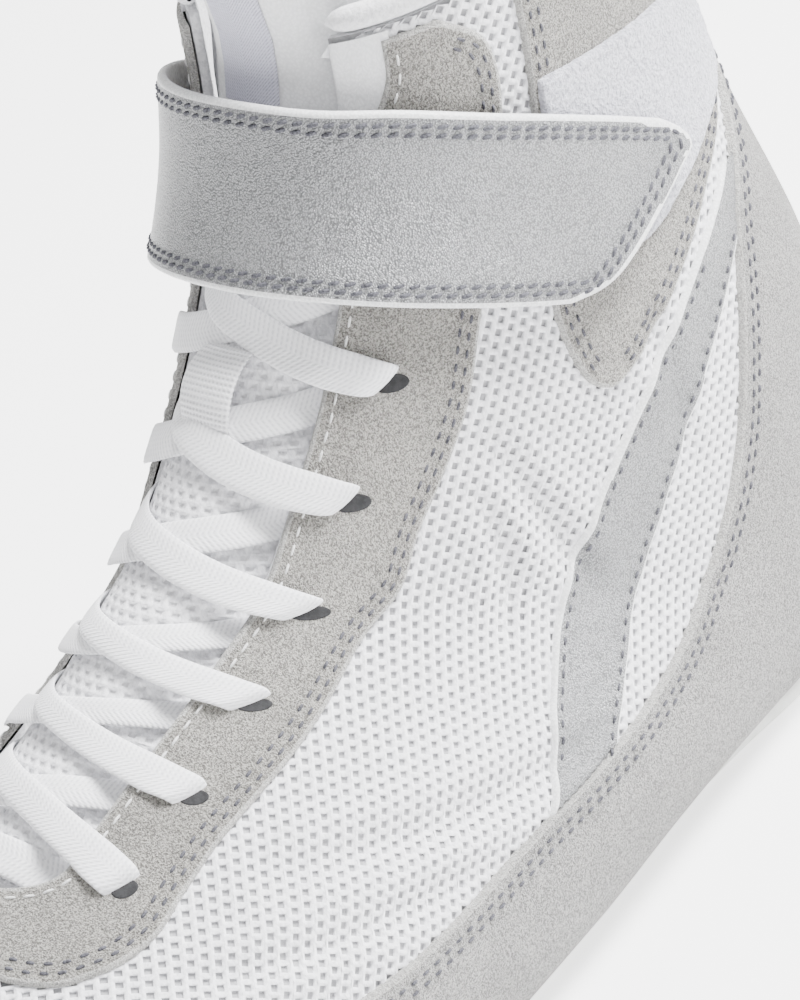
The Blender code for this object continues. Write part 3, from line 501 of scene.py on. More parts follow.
def make_throat_share():
    """Rings, and the share of the throat's edge there on either side."""
    rings = np.linspace(0, TOE_RING, 401)
    shares = {1: np.zeros(len(rings)), -1: np.zeros(len(rings))}
    for place, ring in enumerate(rings):
        if ring < THROAT_END:
            half = float(throat_half(ring))
            for side in (1, -1):
                shares[side][place] = abs(share_at(ring, [side * half])[0])
    return rings, shares


THROAT_RINGS, THROAT_SHARES = make_throat_share()


def throat_edge(side):
    """Edge of the throat on one side, as shares by ring."""
    return lambda ring: np.interp(ring, THROAT_RINGS, THROAT_SHARES[side])


# How far the suede's edge swings out at the collar on the lateral side, and the rings that it takes
TAB_SWING = 0.0085
TAB_TURN = 1.5
TAB_END = 2.0


def tab_edge(side):
    """Throat edge of the suede, which leaves a smooth facing bare beside the tongue near the collar."""
    def edge(ring):
        turned = eased(np.clip((TAB_END - np.asarray(ring, float)) / TAB_TURN, 0, 1))
        swing = TAB_SWING * turned if side > 0 else 0.0
        return throat_edge(side)(ring) + swing / run_at(ring, side)
    return edge


def feather_edge(ring):
    """Feather line, as shares by ring."""
    return np.ones_like(np.asarray(ring, float))


# Edges of the overlays: short tables of ring and share. The foxing's and the bands' follow the blended form
EYESTAY_EDGE = table_curve([
    (0.15, 0.285), (0.6, 0.343), (1.45, 0.345), (2.5, 0.310), (3.95, 0.272), (5.0, 0.255), (6.1, 0.235),
    (7.0, 0.220), (8.85, 0.220), (10.35, 0.243), (11.9, 0.262), (12.6, 0.288), (13.2, 0.318),
    (13.7, 0.308), (14.1, 0.235), (14.35, 0.0)])
FOXING_EDGE = table_curve([
    (0.10, 0.83), (2.3, 0.83), (3.2, 0.735), (3.8, 0.675), (4.4, 0.640), (5.0, 0.616), (5.6, 0.601),
    (6.2, 0.590), (6.8, 0.575), (7.4, 0.556), (8.0, 0.550), (8.6, 0.570), (9.2, 0.598), (9.8, 0.619),
    (10.4, 0.631), (11.0, 0.628), (11.6, 0.622), (12.6, 0.635), (13.1, 0.625), (14.0, 0.600), (15.0, 0.555),
    (16.0, 0.490), (17.0, 0.360), (17.6, 0.225), (18.0, 0.085), (18.1, 0.0)])
PANEL_FRONT = table_curve([
    (0.12, 0.400), (1.2, 0.392), (2.5, 0.372), (3.95, 0.360), (4.5, 0.367), (5.0, 0.385), (5.2, 0.402),
    (5.27, 0.420)])
PANEL_BACK = table_curve([
    (0.12, 0.800), (2.3, 0.800), (3.45, 0.632), (4.7, 0.487), (5.1, 0.446), (5.22, 0.432), (5.27, 0.420)])
PATCH_FRONT = table_curve([(1.3, 0.400), (3.0, 0.378), (3.45, 0.380), (3.72, 0.425)])
PATCH_BACK = table_curve([
    (1.3, 0.785), (2.4, 0.785), (2.8, 0.680), (3.25, 0.580), (3.6, 0.505), (3.72, 0.425)])
BAND_FRONT = table_curve([
    (3.3, 0.692), (3.9, 0.603), (4.5, 0.534), (5.1, 0.483), (5.7, 0.447), (6.3, 0.419), (6.9, 0.398),
    (7.5, 0.382), (8.1, 0.383), (8.7, 0.405), (9.3, 0.435), (9.9, 0.473), (10.5, 0.520), (11.5, 0.635)])
BAND_BACK = table_curve([
    (3.3, 0.784), (3.9, 0.686), (4.5, 0.618), (5.1, 0.569), (5.7, 0.533), (6.3, 0.506), (6.9, 0.485),
    (7.5, 0.467), (8.1, 0.469), (8.7, 0.493), (9.3, 0.528), (9.9, 0.568), (10.5, 0.616), (11.5, 0.716)])
# First and last rings of the overlays
EYESTAY_SPAN = (0.15, 14.35)
FOXING_SPAN = (0.10, 18.1)
PANEL_SPAN = (0.12, 5.27)
PATCH_SPAN = (1.3, 3.72)
BAND_SPAN = (3.3, 11.5)
FACING_SPAN = (0.05, 2.3)
# Ankle strap. Columns: share, top_ring, bottom_ring, lift_top, lift_bottom (lifts in metres)
STRAP = np.array([
    (-0.62, 2.55, 4.65, 0.0017, 0.0017),
    (-0.45, 1.87, 4.15, 0.0019, 0.0020),
    (-0.345, 1.45, 3.92, 0.0024, 0.0030),
    (-0.215, 0.97, 3.60, 0.0042, 0.0068),
    (-0.10, 0.74, 3.45, 0.0052, 0.0080),
    (0.035, 0.68, 3.40, 0.0054, 0.0078),
    (0.12, 0.78, 3.42, 0.0050, 0.0068),
    (0.215, 0.97, 3.58, 0.0042, 0.0052),
    (0.345, 1.45, 3.90, 0.0038, 0.0038),
    (0.45, 1.87, 4.15, 0.0037, 0.0037),
    (0.62, 2.55, 4.55, 0.0037, 0.0037),
])
# Free end of the strap. Columns: across (0 top edge, 1 bottom edge), end share
STRAP_END = np.array([(0.0, 0.560), (0.05, 0.592), (0.14, 0.600), (0.25, 0.575), (0.8, 0.450), (0.93, 0.410),
                      (1.0, 0.365)])


# Looks: each is a procedural material in object space, in metres
class Look:
    """A material and its nodes; named sockets set the shader's own numbers."""

    def __init__(self, name, colour, roughness, **sockets):
        self.material = bpy.data.materials.new(name)
        self.material.use_nodes = True
        self.nodes = self.material.node_tree.nodes
        self.links = self.material.node_tree.links
        self.shader = self.nodes["Principled BSDF"].inputs
        self.shader["Base Color"].default_value = (*colour, 1.0)
        self.shader["Roughness"].default_value = roughness
        for socket, value in sockets.items():
            self.shader[socket.replace("_", " ")].default_value = value

    def feed(self, socket, value):
        """Give a socket a number, a colour or a node's output."""
        if isinstance(value, (int, float)):
            socket.default_value = value
        elif isinstance(value, tuple):
            socket.default_value = (*value, 1.0)
        else:
            self.links.new(value, socket)

    def place(self, kind="Object"):
        """Coordinates in the object's own space, or its UVs, in metres."""
        return self.nodes.new("ShaderNodeTexCoord").outputs[kind]

    def noise(self, source, scale, detail=2.0, rough=0.5, stretch=(1, 1, 1)):
        """Noise over coordinates."""
        found = self.nodes.new("ShaderNodeTexNoise")
        if stretch != (1, 1, 1):
            squeeze = self.nodes.new("ShaderNodeMapping")
            squeeze.inputs["Scale"].default_value = stretch
            self.links.new(source, squeeze.inputs["Vector"])
            source = squeeze.outputs["Vector"]
        for socket, value in (("Vector", source), ("Scale", scale), ("Detail", detail), ("Roughness", rough)):
            self.feed(found.inputs[socket], value)
        return found.outputs["Fac"]

    def ramp(self, source, *stops):
        """Colour ramp from (position, colour) stops."""
        found = self.nodes.new("ShaderNodeValToRGB")
        band = found.color_ramp
        while len(band.elements) < len(stops):
            band.elements.new(0.5)
        for element, (position, colour) in zip(band.elements, stops):
            element.position = position
            element.color = (*colour, 1.0)
        self.links.new(source, found.inputs["Fac"])
        return found.outputs["Color"]

    def mixed(self, blend, factor, first, second):
        """Two colours mixed by a kind of blend."""
        found = self.nodes.new("ShaderNodeMix")
        found.data_type = "RGBA"
        found.blend_type = blend
        for socket, value in ((0, factor), (6, first), (7, second)):
            self.feed(found.inputs[socket], value)
        return found.outputs[2]

    def math(self, operation, *values):
        """One operation on numbers or outputs."""
        found = self.nodes.new("ShaderNodeMath")
        found.operation = operation
        for socket, value in enumerate(values):
            self.feed(found.inputs[socket], value)
        return found.outputs[0]

    def plus(self, first, second):
        return self.math("ADD", first, second)

    def times(self, first, second):
        return self.math("MULTIPLY", first, second)

    def finish(self, colour, height, distance, strength):
        """The material, with a colour and the relief of a height."""
        relief = self.nodes.new("ShaderNodeBump")
        relief.inputs["Strength"].default_value = strength
        relief.inputs["Distance"].default_value = distance
        self.links.new(height, relief.inputs["Height"])
        self.links.new(relief.outputs["Normal"], self.shader["Normal"])
        self.links.new(colour, self.shader["Base Color"])
        return self.material


def suede_look(name, dark, light):
    """Brushed suede: a nap of fine dark and light specks, in worn patches."""
    look = Look(name, light, 0.95, Sheen_Weight=0.25, Sheen_Roughness=0.5)
    place = look.place()
    nap = look.noise(place, 3400, 2.0, 0.65)
    clumps = look.noise(place, 1700)
    patches = look.noise(place, 55, 3.0)
    speckle = look.plus(look.times(nap, 0.65), look.times(clumps, 0.35))
    between = tuple(0.5 * (a + b) for a, b in zip(dark, light))
    grain = look.ramp(speckle, (0.41, dark), (0.50, between), (0.59, light))
    worn = look.ramp(patches, (0.35, (0.86, 0.86, 0.86)), (0.65, (1.0, 1.0, 1.0)))
    return look.finish(look.mixed("MULTIPLY", 1.0, grain, worn), speckle, 0.0014, 1.0)


def fibre_look(name, dark, light, scale, distance, stretch=(1, 1, 1), **sockets):
    """Plain textile: fine uneven fibres, with painted shade that makes the hollows slightly darker."""
    look = Look(name, light, 0.9, **sockets)
    fibres = look.noise(look.place(), scale, 3.0, 0.6, stretch)
    # the colour follows the fibres' height: uneven tone, and painted shade in the hollows
    return look.finish(look.ramp(fibres, (0.35, dark), (0.6, light)), fibres, distance, 0.8)


def woven_look(name, dark, light, along_pitch, across_pitch, distance, slant=0.0, **sockets):
    """Woven band in UV metres (u along, v across): rows of picks, shifted by slant across the band."""
    look = Look(name, light, 0.85, **sockets)
    spot = look.nodes.new("ShaderNodeSeparateXYZ")
    look.links.new(look.place("UV"), spot.inputs[0])
    lean = look.times(look.math("ABSOLUTE", spot.outputs[1]), slant)
    picks = look.math("SINE", look.times(look.plus(spot.outputs[0], lean), 2 * math.pi / along_pitch))
    ends = look.math("SINE", look.times(spot.outputs[1], 2 * math.pi / across_pitch))
    weave = look.plus(look.times(picks, 0.35), look.times(look.times(picks, ends), 0.25))
    fuzz = look.times(look.noise(look.place(), 1400), 0.5)
    height = look.plus(look.plus(weave, fuzz), 0.25)
    return look.finish(look.ramp(height, (0.1, dark), (0.62, light)), height, distance, 0.9)


def pebbled_look(name, dark, light, scale, distance, roughness, **sockets):
    """Fine-grained coated leather: small pebbles with creases darkened by painted shade, shifted a little by
    a coarse noise.
    """
    look = Look(name, light, roughness, **sockets)
    place = look.place()
    cells = look.nodes.new("ShaderNodeTexVoronoi")
    cells.feature = "SMOOTH_F1"
    cells.inputs["Scale"].default_value = scale
    cells.inputs["Smoothness"].default_value = 0.4
    shift = look.nodes.new("ShaderNodeTexNoise").outputs["Color"]
    look.links.new(look.mixed("LINEAR_LIGHT", 0.0018, place, shift), cells.inputs["Vector"])
    pebbles = look.math("SUBTRACT", 1.0, cells.outputs["Distance"])
    # tone follows the pebbles' height: painted shade in the creases
    tone = look.plus(look.times(pebbles, 0.88), look.times(look.noise(place, 220), 0.12))
    return look.finish(look.ramp(tone, (0.35, dark), (0.75, light)), pebbles, distance, 0.7)


SUEDE_LOOK = suede_look("suede", (0.14, 0.133, 0.120), (0.51, 0.490, 0.450))
FOXING_LOOK = suede_look("foxing_suede", (0.15, 0.146, 0.140), (0.50, 0.490, 0.474))
RAW_LOOK = suede_look("suede_edge", (0.36, 0.352, 0.336), (0.66, 0.648, 0.622))
NET_LOOK = fibre_look("net", (0.66, 0.66, 0.69), (0.88, 0.88, 0.905), 1700, 0.0002, (1, 1, 0.35),
                      Sheen_Weight=0.15)
# Dark grey backing under the net: painted shade in the net's holes
BACKING_SHADE_LOOK = fibre_look("backing", (0.30, 0.30, 0.31), (0.42, 0.42, 0.435), 900, 0.0001)
LINING_LOOK = fibre_look("lining", (0.62, 0.62, 0.64), (0.80, 0.80, 0.82), 1300, 0.0003, Sheen_Weight=0.3)
PILE_LOOK = fibre_look("pile", (0.36, 0.36, 0.42), (0.68, 0.68, 0.75), 1500, 0.0016, Sheen_Weight=0.5)
LACE_LOOK = woven_look("lace", (0.70, 0.70, 0.73), (0.90, 0.90, 0.92), 0.00095, 0.00085, 0.00010, 0.55,
                       Sheen_Weight=0.1)
TAPE_LOOK = woven_look("tape", (0.36, 0.36, 0.44), (0.58, 0.58, 0.68), 0.0006, 0.0006, 0.0001, 1.0)
LOOP_LOOK = woven_look("webbing", (0.62, 0.62, 0.65), (0.90, 0.90, 0.92), 0.0010, 0.0007, 0.00025, 0.0)
SILVER_LOOK = pebbled_look("silver", (0.15, 0.153, 0.157), (0.37, 0.375, 0.383), 3200, 0.00045, 0.33,
                           Metallic=0.30, Coat_Weight=0.12, Coat_Roughness=0.35)
EDGE_LOOK = pebbled_look("white_edge", (0.66, 0.665, 0.67), (0.84, 0.845, 0.85), 2200, 0.0001, 0.45)
SMOOTH_LOOK = pebbled_look("tongue_face", (0.74, 0.745, 0.76), (0.84, 0.845, 0.86), 1900, 0.0001, 0.55)
RUBBER_LOOK = fibre_look("rubber", (0.66, 0.665, 0.64), (0.76, 0.765, 0.74), 260, 0.00005)
THREAD_LOOK = fibre_look("thread_grey", (0.030, 0.030, 0.036), (0.115, 0.115, 0.135), 2600, 0.0001)
PALE_THREAD_LOOK = fibre_look("thread_pale", (0.60, 0.60, 0.60), (0.80, 0.80, 0.79), 2600, 0.0001)
# Near black: painted shade inside the eyelets' holes
HOLE_SHADE_LOOK = fibre_look("hole", (0.010, 0.010, 0.011), (0.022, 0.022, 0.024), 900, 0.0001)


# Points of one piece closer together than this are joined
WELD = 0.000004


class Shape:
    """Points, faces and UVs gathered into one mesh object."""

    def __init__(self):
        self.points = []
        self.faces = []
        self.uvs = []
        self.slots = []
        self.count = 0

    def add(self, points, faces, uvs=None, slot=0):
        """Take in points and the faces between them."""
        points = np.asarray(points, float).reshape(-1, 3)
        faces = np.asarray(faces, int)
        self.points.append(points)
        self.faces.append(faces + self.count)
        self.uvs.append(np.zeros((len(points), 2)) if uvs is None else np.asarray(uvs, float).reshape(-1, 2))
        self.slots.append(np.full(len(faces), slot))
        self.count += len(points)

    def grid(self, points, side=1, wrap=False, uvs=None, slot=0, keep=None):
        """Quads over a grid of points, facing out when rows x columns turn outwards for side 1."""
        rows, columns = points.shape[:2]
        number = np.arange(rows * columns).reshape(rows, columns)
        right = np.roll(number, -1, axis=1) if wrap else number[:, 1:]
        left = number if wrap else number[:, :-1]
        quads = np.stack([left[:-1], right[:-1], right[1:], left[1:]], -1)
        if keep is not None:
            quads = quads[keep]
        quads = quads.reshape(-1, 4)
        self.add(points, quads if side > 0 else quads[:, ::-1], uvs, slot)

    def build(self, name, *looks, weld=0.0):
        """Object of everything gathered; triangles are given as quads that repeat their last point."""
        points = np.concatenate(self.points)
        faces = np.concatenate(self.faces)
        uvs = np.concatenate(self.uvs)
        slots = np.concatenate(self.slots)
        if weld:
            keys = np.round(points / weld).astype(np.int64)
            _, first, same = np.unique(keys, axis=0, return_index=True, return_inverse=True)
            faces = same.reshape(-1)[faces]
            points = points[first]
            uvs = uvs[first]
        loops = []
        kept = []
        for number, face in enumerate(faces.tolist()):
            loop = [n for place, n in enumerate(face) if n != face[place - 1]]
            if len(set(loop)) == len(loop) > 2:
                loops.append(loop)
                kept.append(number)
        mesh = bpy.data.meshes.new(name)
        mesh.from_pydata(points.tolist(), [], loops)
        layer = mesh.uv_layers.new(name="UVMap")
        corners = np.zeros(len(mesh.loops), np.int32)
        mesh.loops.foreach_get("vertex_index", corners)
        layer.data.foreach_set("uv", uvs[corners].ravel())
        for look in looks:
            mesh.materials.append(look)
        mesh.polygons.foreach_set("material_index", slots[kept].astype(np.int32))
        mesh.shade_smooth()
        made = bpy.data.objects.new(name, mesh)
        made.location.x = -HEEL_SEAT
        bpy.context.scene.collection.objects.link(made)
        return made


def dress(piece, slot, *nodes):
    """Hand a piece to the shoe's one body and hide the solids that it stands for; the slot (its finish) is
    not used.
    """
    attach(piece, "root")
    if nodes:
        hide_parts(*nodes)
    return piece


# Overlays: one thickness with a rolled edge, laid on the skin. Places of the columns at a rolled edge, width
# of its pale cut edge, how deep and how quickly a piece dips under another, points along an edge line, and
# the usual lifts of edge and face
EDGE_STEPS = np.array([0.0, 0.18, 0.45, 0.8, 1.1, 1.3]) * 0.001
PALE_RIM = 0.00085
UNDER_DIP = 0.97
UNDER_RUN = 0.0008
EDGE_SAMPLES = 900
LOW = 0.0001
HIGH = CLEARANCE + SUEDE


def edge_columns(near, far, run, roll_near, roll_far, inner):
    """Shares between two edges of a row, close together at each rolled edge."""
    width = np.maximum((far - near) * run, 1e-6)
    rolled = np.minimum(EDGE_STEPS / width[:, None], np.linspace(0, 0.4, len(EDGE_STEPS)))
    plain = np.tile(np.linspace(0, 0.05, len(EDGE_STEPS)), (len(near), 1))
    left = rolled if roll_near else plain
    right = 1 - (rolled if roll_far else plain)[:, ::-1]
    share = np.linspace(0, 1, inner + 2)[None, 1:-1]
    middle = left[:, -1:] + (right[:, :1] - left[:, -1:]) * share
    fraction = np.concatenate([left, middle, right], 1)
    return near[:, None] + (far - near)[:, None] * fraction


def line_on_skin(rings, shares, step=0.00015):
    """Closely spaced points along a line of (ring, share) places on the skin."""
    points = SKIN.at(rings, shares, 0.0)
    run = run_along(points)
    wanted = np.linspace(0, run[-1], max(int(run[-1] / step), 2))
    return SKIN.at(np.interp(wanted, run, rings), np.interp(wanted, run, shares), 0.0)


def overlay_edges(side, first, last, near, far, sides):
    """Free edges of an overlay patch: any of near, far and first."""
    rings = np.linspace(first, last, EDGE_SAMPLES)
    lines = [line_on_skin(rings, side * edge(rings)) for name, edge in (("near", near), ("far", far))
             if name in sides]
    if "first" in sides:
        shares = np.linspace(float(near(first)), float(far(first)), 60)
        lines.append(line_on_skin(np.full(60, first), side * shares))
    return lines


def row_rings(first, last, count, free):
    """Rings of an overlay's rows, close together at a free first row."""
    rings = np.linspace(first, last, count)
    step = 0.02
    if "first" in free:
        rings = np.concatenate([[first, first + step, first + 2.5 * step, first + 4.5 * step], rings[2:]])
    return rings


def overlay(shape, side, first, last, near, far, free, low, high, rows, inner, roll, tree=None, extra=(),
            under=None, rim=0.0):
    """One patch of an overlay added to a shape.

    It lies between the rings first and last and the edges near and far. Its free edges fall from the lift
    high to low over the distance roll; beyond the edge under it dips below another piece.
    """
    rings = np.unique(np.concatenate([row_rings(first, last, rows, free), np.asarray(extra, float)]))
    near_shares = near(rings)
    far_shares = np.maximum(far(rings), near_shares)
    shares = edge_columns(near_shares, far_shares, run_at(rings, side), "near" in free, "far" in free, inner)
    grid_rings = np.repeat(rings[:, None], shares.shape[1], 1)
    base = SKIN.at(grid_rings, side * shares, 0.0)
    if tree is None:
        tree = tree_over(np.concatenate(overlay_edges(side, first, last, near, far, free)))
    gap = gaps_to(tree, base)
    borders = {"near": np.s_[:, 0], "far": np.s_[:, -1], "first": np.s_[0]}
    for name in free:
        gap[borders[name]] = 0.0
    part = 1 - np.clip(gap / roll, 0, 1)
    lift = low + (high - low) * np.sqrt(1 - part ** 2)
    if under is not None:
        past = (shares - under(grid_rings)) * run_at(rings, side)[:, None]
        lift = lift * (1 - UNDER_DIP * np.clip(past / UNDER_RUN, 0, 1))
    points = SKIN.at(grid_rings, side * shares, lift)
    at_rim = (gap[:-1, :-1] + gap[1:, 1:]) / 2 < rim
    shape.grid(points, side, slot=0, keep=~at_rim)
    shape.grid(points, side, slot=1, keep=at_rim)


# Stitches: small rods laid end to end along seams, all in one joined piece for each thread
STITCH_SIDES = 5
STITCH_RINGS = np.array([-1.0, -0.72, 0.0, 0.72, 1.0])
STITCH_GIRTH = np.array([0.15, 0.85, 1.0, 0.85, 0.15])


def add_stitches(shape, centres, ahead, out, length, radius, lean=0.0):
    """Short rods at centres, pointing ahead and turned by lean about the outward direction."""
    ahead = unit(ahead)
    aside = unit(np.cross(out, ahead))
    axis = ahead * math.cos(lean) + aside * math.sin(lean)
    cross = -ahead * math.sin(lean) + aside * math.cos(lean)
    turns = np.arange(STITCH_SIDES) * 2 * math.pi / STITCH_SIDES
    for centre, a, c, o in zip(centres, axis, cross, out):
        rows = []
        for place, girth in zip(STITCH_RINGS, STITCH_GIRTH):
            spine = centre + a * place * length / 2 + o * (-0.5 * radius * place ** 2)
            rows.append(spine + radius * girth * (np.cos(turns)[:, None] * c + np.sin(turns)[:, None] * o))
        shape.grid(np.array(rows), 1, wrap=True)


def spaced_along(points, pitch):
    """Places and directions a pitch apart along a line."""
    run = run_along(points)
    count = max(int(run[-1] / pitch), 1)
    wanted = (np.arange(count) + 0.5) * run[-1] / count
    nudge = 0.0004
    found, after, before = (np.stack([np.interp(spots, run, points[:, axis]) for axis in range(3)], -1)
                            for spots in (wanted, wanted + nudge, wanted - nudge))
    return found, after - before


def inset_line(rings, shares, inward, inset):
    """Line on the skin set a distance to one side of another; inward is the sign of the share change."""
    line = SKIN.at(rings, shares, 0.0)
    beside = SKIN.at(rings, shares + inward * 0.004, 0.0) - line
    tangent = unit(np.gradient(line, axis=0))
    beside = unit(beside - tangent * (beside * tangent).sum(1, keepdims=True))
    return line + beside * inset


def seam(shape, rings, shares, inward, inset, lift, pitch, length, radius):
    """A row of stitches at a set distance inside an edge."""
    spots, ahead = spaced_along(inset_line(rings, shares, inward, inset), pitch)
    spots, out = settle(spots, lift)
    add_stitches(shape, spots, ahead, out, length, radius)


def edge_line(first, last, side, edge, count=200):
    """Rings and signed shares along an edge, for a seam."""
    rings = np.linspace(first, last, count)
    return rings, side * edge(rings)


# The shell under the net lies this far below the skin
SHELL_LIFT = -0.00030


def make_upper():
    """Upper: the backing skin outside, dark grey as painted shade in the net's holes, and the lining inside,
    one hollow wall.
    """
    rings = np.concatenate([
        np.linspace(0, 12.6, 160), np.linspace(12.7, 13.5, 17), np.linspace(13.6, TOE_RING, 60)])
    shape = Shape()
    for side in (1, -1):
        near = throat_edge(side)(rings)
        fraction = np.linspace(0, 1, 46)[None, :]
        shares = side * (near[:, None] + (1 - near[:, None]) * fraction)
        grid = np.repeat(rings[:, None], shares.shape[1], 1)
        outer = SKIN.at(grid, shares, SHELL_LIFT)
        inner = SKIN.at(grid, shares, -UPPER_WALL)
        low = rings > HEEL_RING
        inner[low, -1, 2] = feather(inner[low, -1, 0] / LENGTH)
        inner[-1] = outer[-1] - np.array([UPPER_WALL, 0.0, 0.0])
        shape.grid(outer, side, slot=0)
        shape.grid(inner, -side, slot=1)
        rim = np.stack([inner[0], outer[0]])
        shape.grid(rim, side, slot=1)
        shape.grid(np.stack([outer[:, 0], inner[:, 0]], 1), -side, slot=1)
        shape.grid(np.stack([outer[low][:, -1], inner[low][:, -1]], 1), side, slot=1)
    made = shape.build("upper_shell", BACKING_SHADE_LOOK, LINING_LOOK, weld=WELD)
    return dress(made, "mesh", "upper")


# Net: strands round square holes, charted in distance along the shoe and up its side. Pitch of the cells,
# half width of a hole, lifts of the strands' tops, of the holes' rims and of their bottoms, turn of the rows,
# how far the net runs on under an overlay and how far it keeps from the throat
NET_PITCH = 0.00215
NET_HOLE = 0.00060
NET_TOP = 0.00034
NET_RIM = NET_TOP * 0.72
NET_BOTTOM = -0.0004
NET_TURN = math.radians(35)
NET_TUCK = 0.0016
NET_THROAT_GAP = 0.0012
CHART_STEP = 0.0005


def net_chart(side):
    """Rings and shares over one side, charted by distance along the shoe and up from the feather line."""
    columns = np.where(PLAIN_SKIN.columns * side >= 0)[0]
    if side < 0:
        columns = columns[::-1]
    shares = PLAIN_SKIN.columns[columns]
    xs = PLAIN_SKIN.points[:, columns, 0]
    tops = xs[:, 0]
    ends = xs[:, -1]

    def border(inside, outside, x):
        """Ring and share where a slice crosses the ridge or the end between two rows."""
        line, share = (tops, 0.0) if x > tops[outside] else (ends, 1.0)
        part = (x - line[inside]) / (line[outside] - line[inside])
        ring = PLAIN_SKIN.rows[inside] + part * (PLAIN_SKIN.rows[outside] - PLAIN_SKIN.rows[inside])
        return ring, share * side

    along = np.arange(0.004, LENGTH - 0.004, CHART_STEP)
    ups = np.arange(0.0, 0.250, CHART_STEP)
    chart = np.zeros((len(along), len(ups), 2))
    heights = np.zeros(len(along))
    for number, x in enumerate(along):
        met = np.where((ends <= x) & (x <= tops))[0]
        places = [(PLAIN_SKIN.rows[n], np.interp(-x, -xs[n], shares)) for n in met]
        if met[0] > 0:
            places.insert(0, border(met[0], met[0] - 1, x))
        if met[-1] < len(tops) - 1:
            places.append(border(met[-1], met[-1] + 1, x))
        rings, found = np.array(places).T
        points = PLAIN_SKIN.at(rings, found, 0.0)
        run = run_along(points)
        up = (run[-1] - run)[::-1]
        chart[number, :, 0] = np.interp(ups, up, rings[::-1])
        chart[number, :, 1] = np.abs(np.interp(ups, up, found[::-1]))
        heights[number] = run[-1]
    return along, chart, heights


def chart_at(along, chart, x, up):
    """Ring and share at a place on the chart."""
    row = np.clip((x - along[0]) / CHART_STEP, 0, len(along) - 1.001)
    column = np.clip(up / CHART_STEP, 0, chart.shape[1] - 1.001)
    i = row.astype(int)
    j = column.astype(int)
    u = (row - i)[..., None]
    v = (column - j)[..., None]
    near = chart[i, j] * (1 - v) + chart[i, j + 1] * v
    far = chart[i + 1, j] * (1 - v) + chart[i + 1, j + 1] * v
    found = near * (1 - u) + far * u
    return found[..., 0], found[..., 1]


def net_is_bare(rings, shares, side):
    """Whether a cell centre shows, or lies close under an overlay's edge."""
    run = run_at(rings, side)
    margin = NET_TUCK / run
    bare = shares > throat_edge(side)(rings) + NET_THROAT_GAP / run
    bare &= ~((rings < EYESTAY_SPAN[1]) & (rings > 0.2) & (shares < EYESTAY_EDGE(rings) - margin))
    bare &= ~((rings > FOXING_SPAN[1]) | (shares > FOXING_EDGE(rings) + margin))
    panel = rings < 5.2
    bare &= ~(panel & (shares > PANEL_FRONT(rings) + margin) & (shares < PANEL_BACK(rings) - margin))
    band = (rings > BAND_SPAN[0]) & (rings < BAND_SPAN[1])
    bare &= ~(band & (shares > BAND_FRONT(rings) + margin) & (shares < BAND_BACK(rings) - margin))
    return bare


SIDE_NAMES = {1: "lateral", -1: "medial"}
CELL_FACES = np.array([
    [0, 1, 5, 4], [1, 2, 6, 5], [2, 3, 7, 6], [3, 0, 4, 7],
    [4, 5, 9, 8], [5, 6, 10, 9], [6, 7, 11, 10], [7, 4, 8, 11]])


def make_net(side):
    """Net of one side: for each cell a raised frame and the walls of its hole."""
    along, chart, heights = net_chart(side)
    count = int(1.25 * LENGTH / NET_PITCH)
    i, j = np.meshgrid(np.arange(-count // 2, count), np.arange(-count, count), indexing="ij")
    p = i.ravel() * NET_PITCH
    q = (j.ravel() + 0.5 * (i.ravel() % 2)) * NET_PITCH
    turn, lean = math.cos(NET_TURN), math.sin(NET_TURN)
    x = p * turn - q * lean
    up = p * lean + q * turn
    inside = (x > along[0]) & (x < along[-1]) & (up > 0) & (up < np.interp(x, along, heights))
    p, q, x, up = p[inside], q[inside], x[inside], up[inside]
    bare = net_is_bare(*chart_at(along, chart, x, up), side)
    p, q = p[bare], q[bare]
    cells = []
    for half, lift in ((NET_PITCH / 2, NET_TOP), (NET_HOLE, NET_RIM), (NET_HOLE, NET_BOTTOM)):
        for dp, dq in ((-half, -half), (half, -half), (half, half), (-half, half)):
            spot_x = (p + dp) * turn - (q + dq) * lean
            spot_up = (p + dp) * lean + (q + dq) * turn
            ring, share = chart_at(along, chart, spot_x, spot_up)
            cells.append(SKIN.at(ring, side * share, lift))
    points = np.stack(cells, 1)
    faces = (CELL_FACES[None] + 12 * np.arange(len(p))[:, None, None]).reshape(-1, 4)
    shape = Shape()
    shape.add(points, faces[:, ::-1] if side > 0 else faces)
    return dress(shape.build(f"net_{SIDE_NAMES[side]}", NET_LOOK), "mesh")


def make_eyestay():
    """Suede lacing stay, both sides in one piece."""
    shape = Shape()
    lines = []
    for side in (1, -1):
        lines += overlay_edges(side, *EYESTAY_SPAN, tab_edge(side), EYESTAY_EDGE, ("far", "first"))
        rings = np.linspace(EYESTAY_SPAN[0], THROAT_END, EDGE_SAMPLES)
        lines.append(line_on_skin(rings, side * tab_edge(side)(rings)))
    tree = tree_over(np.concatenate(lines))
    extra = np.concatenate([np.linspace(12.7, 13.4, 22), np.linspace(14.0, EYESTAY_SPAN[1], 12)])
    for side in (1, -1):
        overlay(shape, side, *EYESTAY_SPAN, tab_edge(side), EYESTAY_EDGE, ("near", "far", "first"),
                LOW, HIGH, 170, 16, 0.0006, tree, extra, rim=PALE_RIM)
    made = shape.build("eyestay_suede", SUEDE_LOOK, RAW_LOOK, weld=WELD)
    return dress(made, "suede", "eyestay")


def make_facing():
    """Smooth facing beside the tongue, between the throat and the suede tab."""
    shape = Shape()
    overlay(shape, 1, *FACING_SPAN, throat_edge(1), lambda ring: tab_edge(1)(ring) + 0.012, ("near",),
            LOW, 0.0007, 40, 10, 0.0005)
    return dress(shape.build("collar_facing", SMOOTH_LOOK, weld=WELD), "lining")


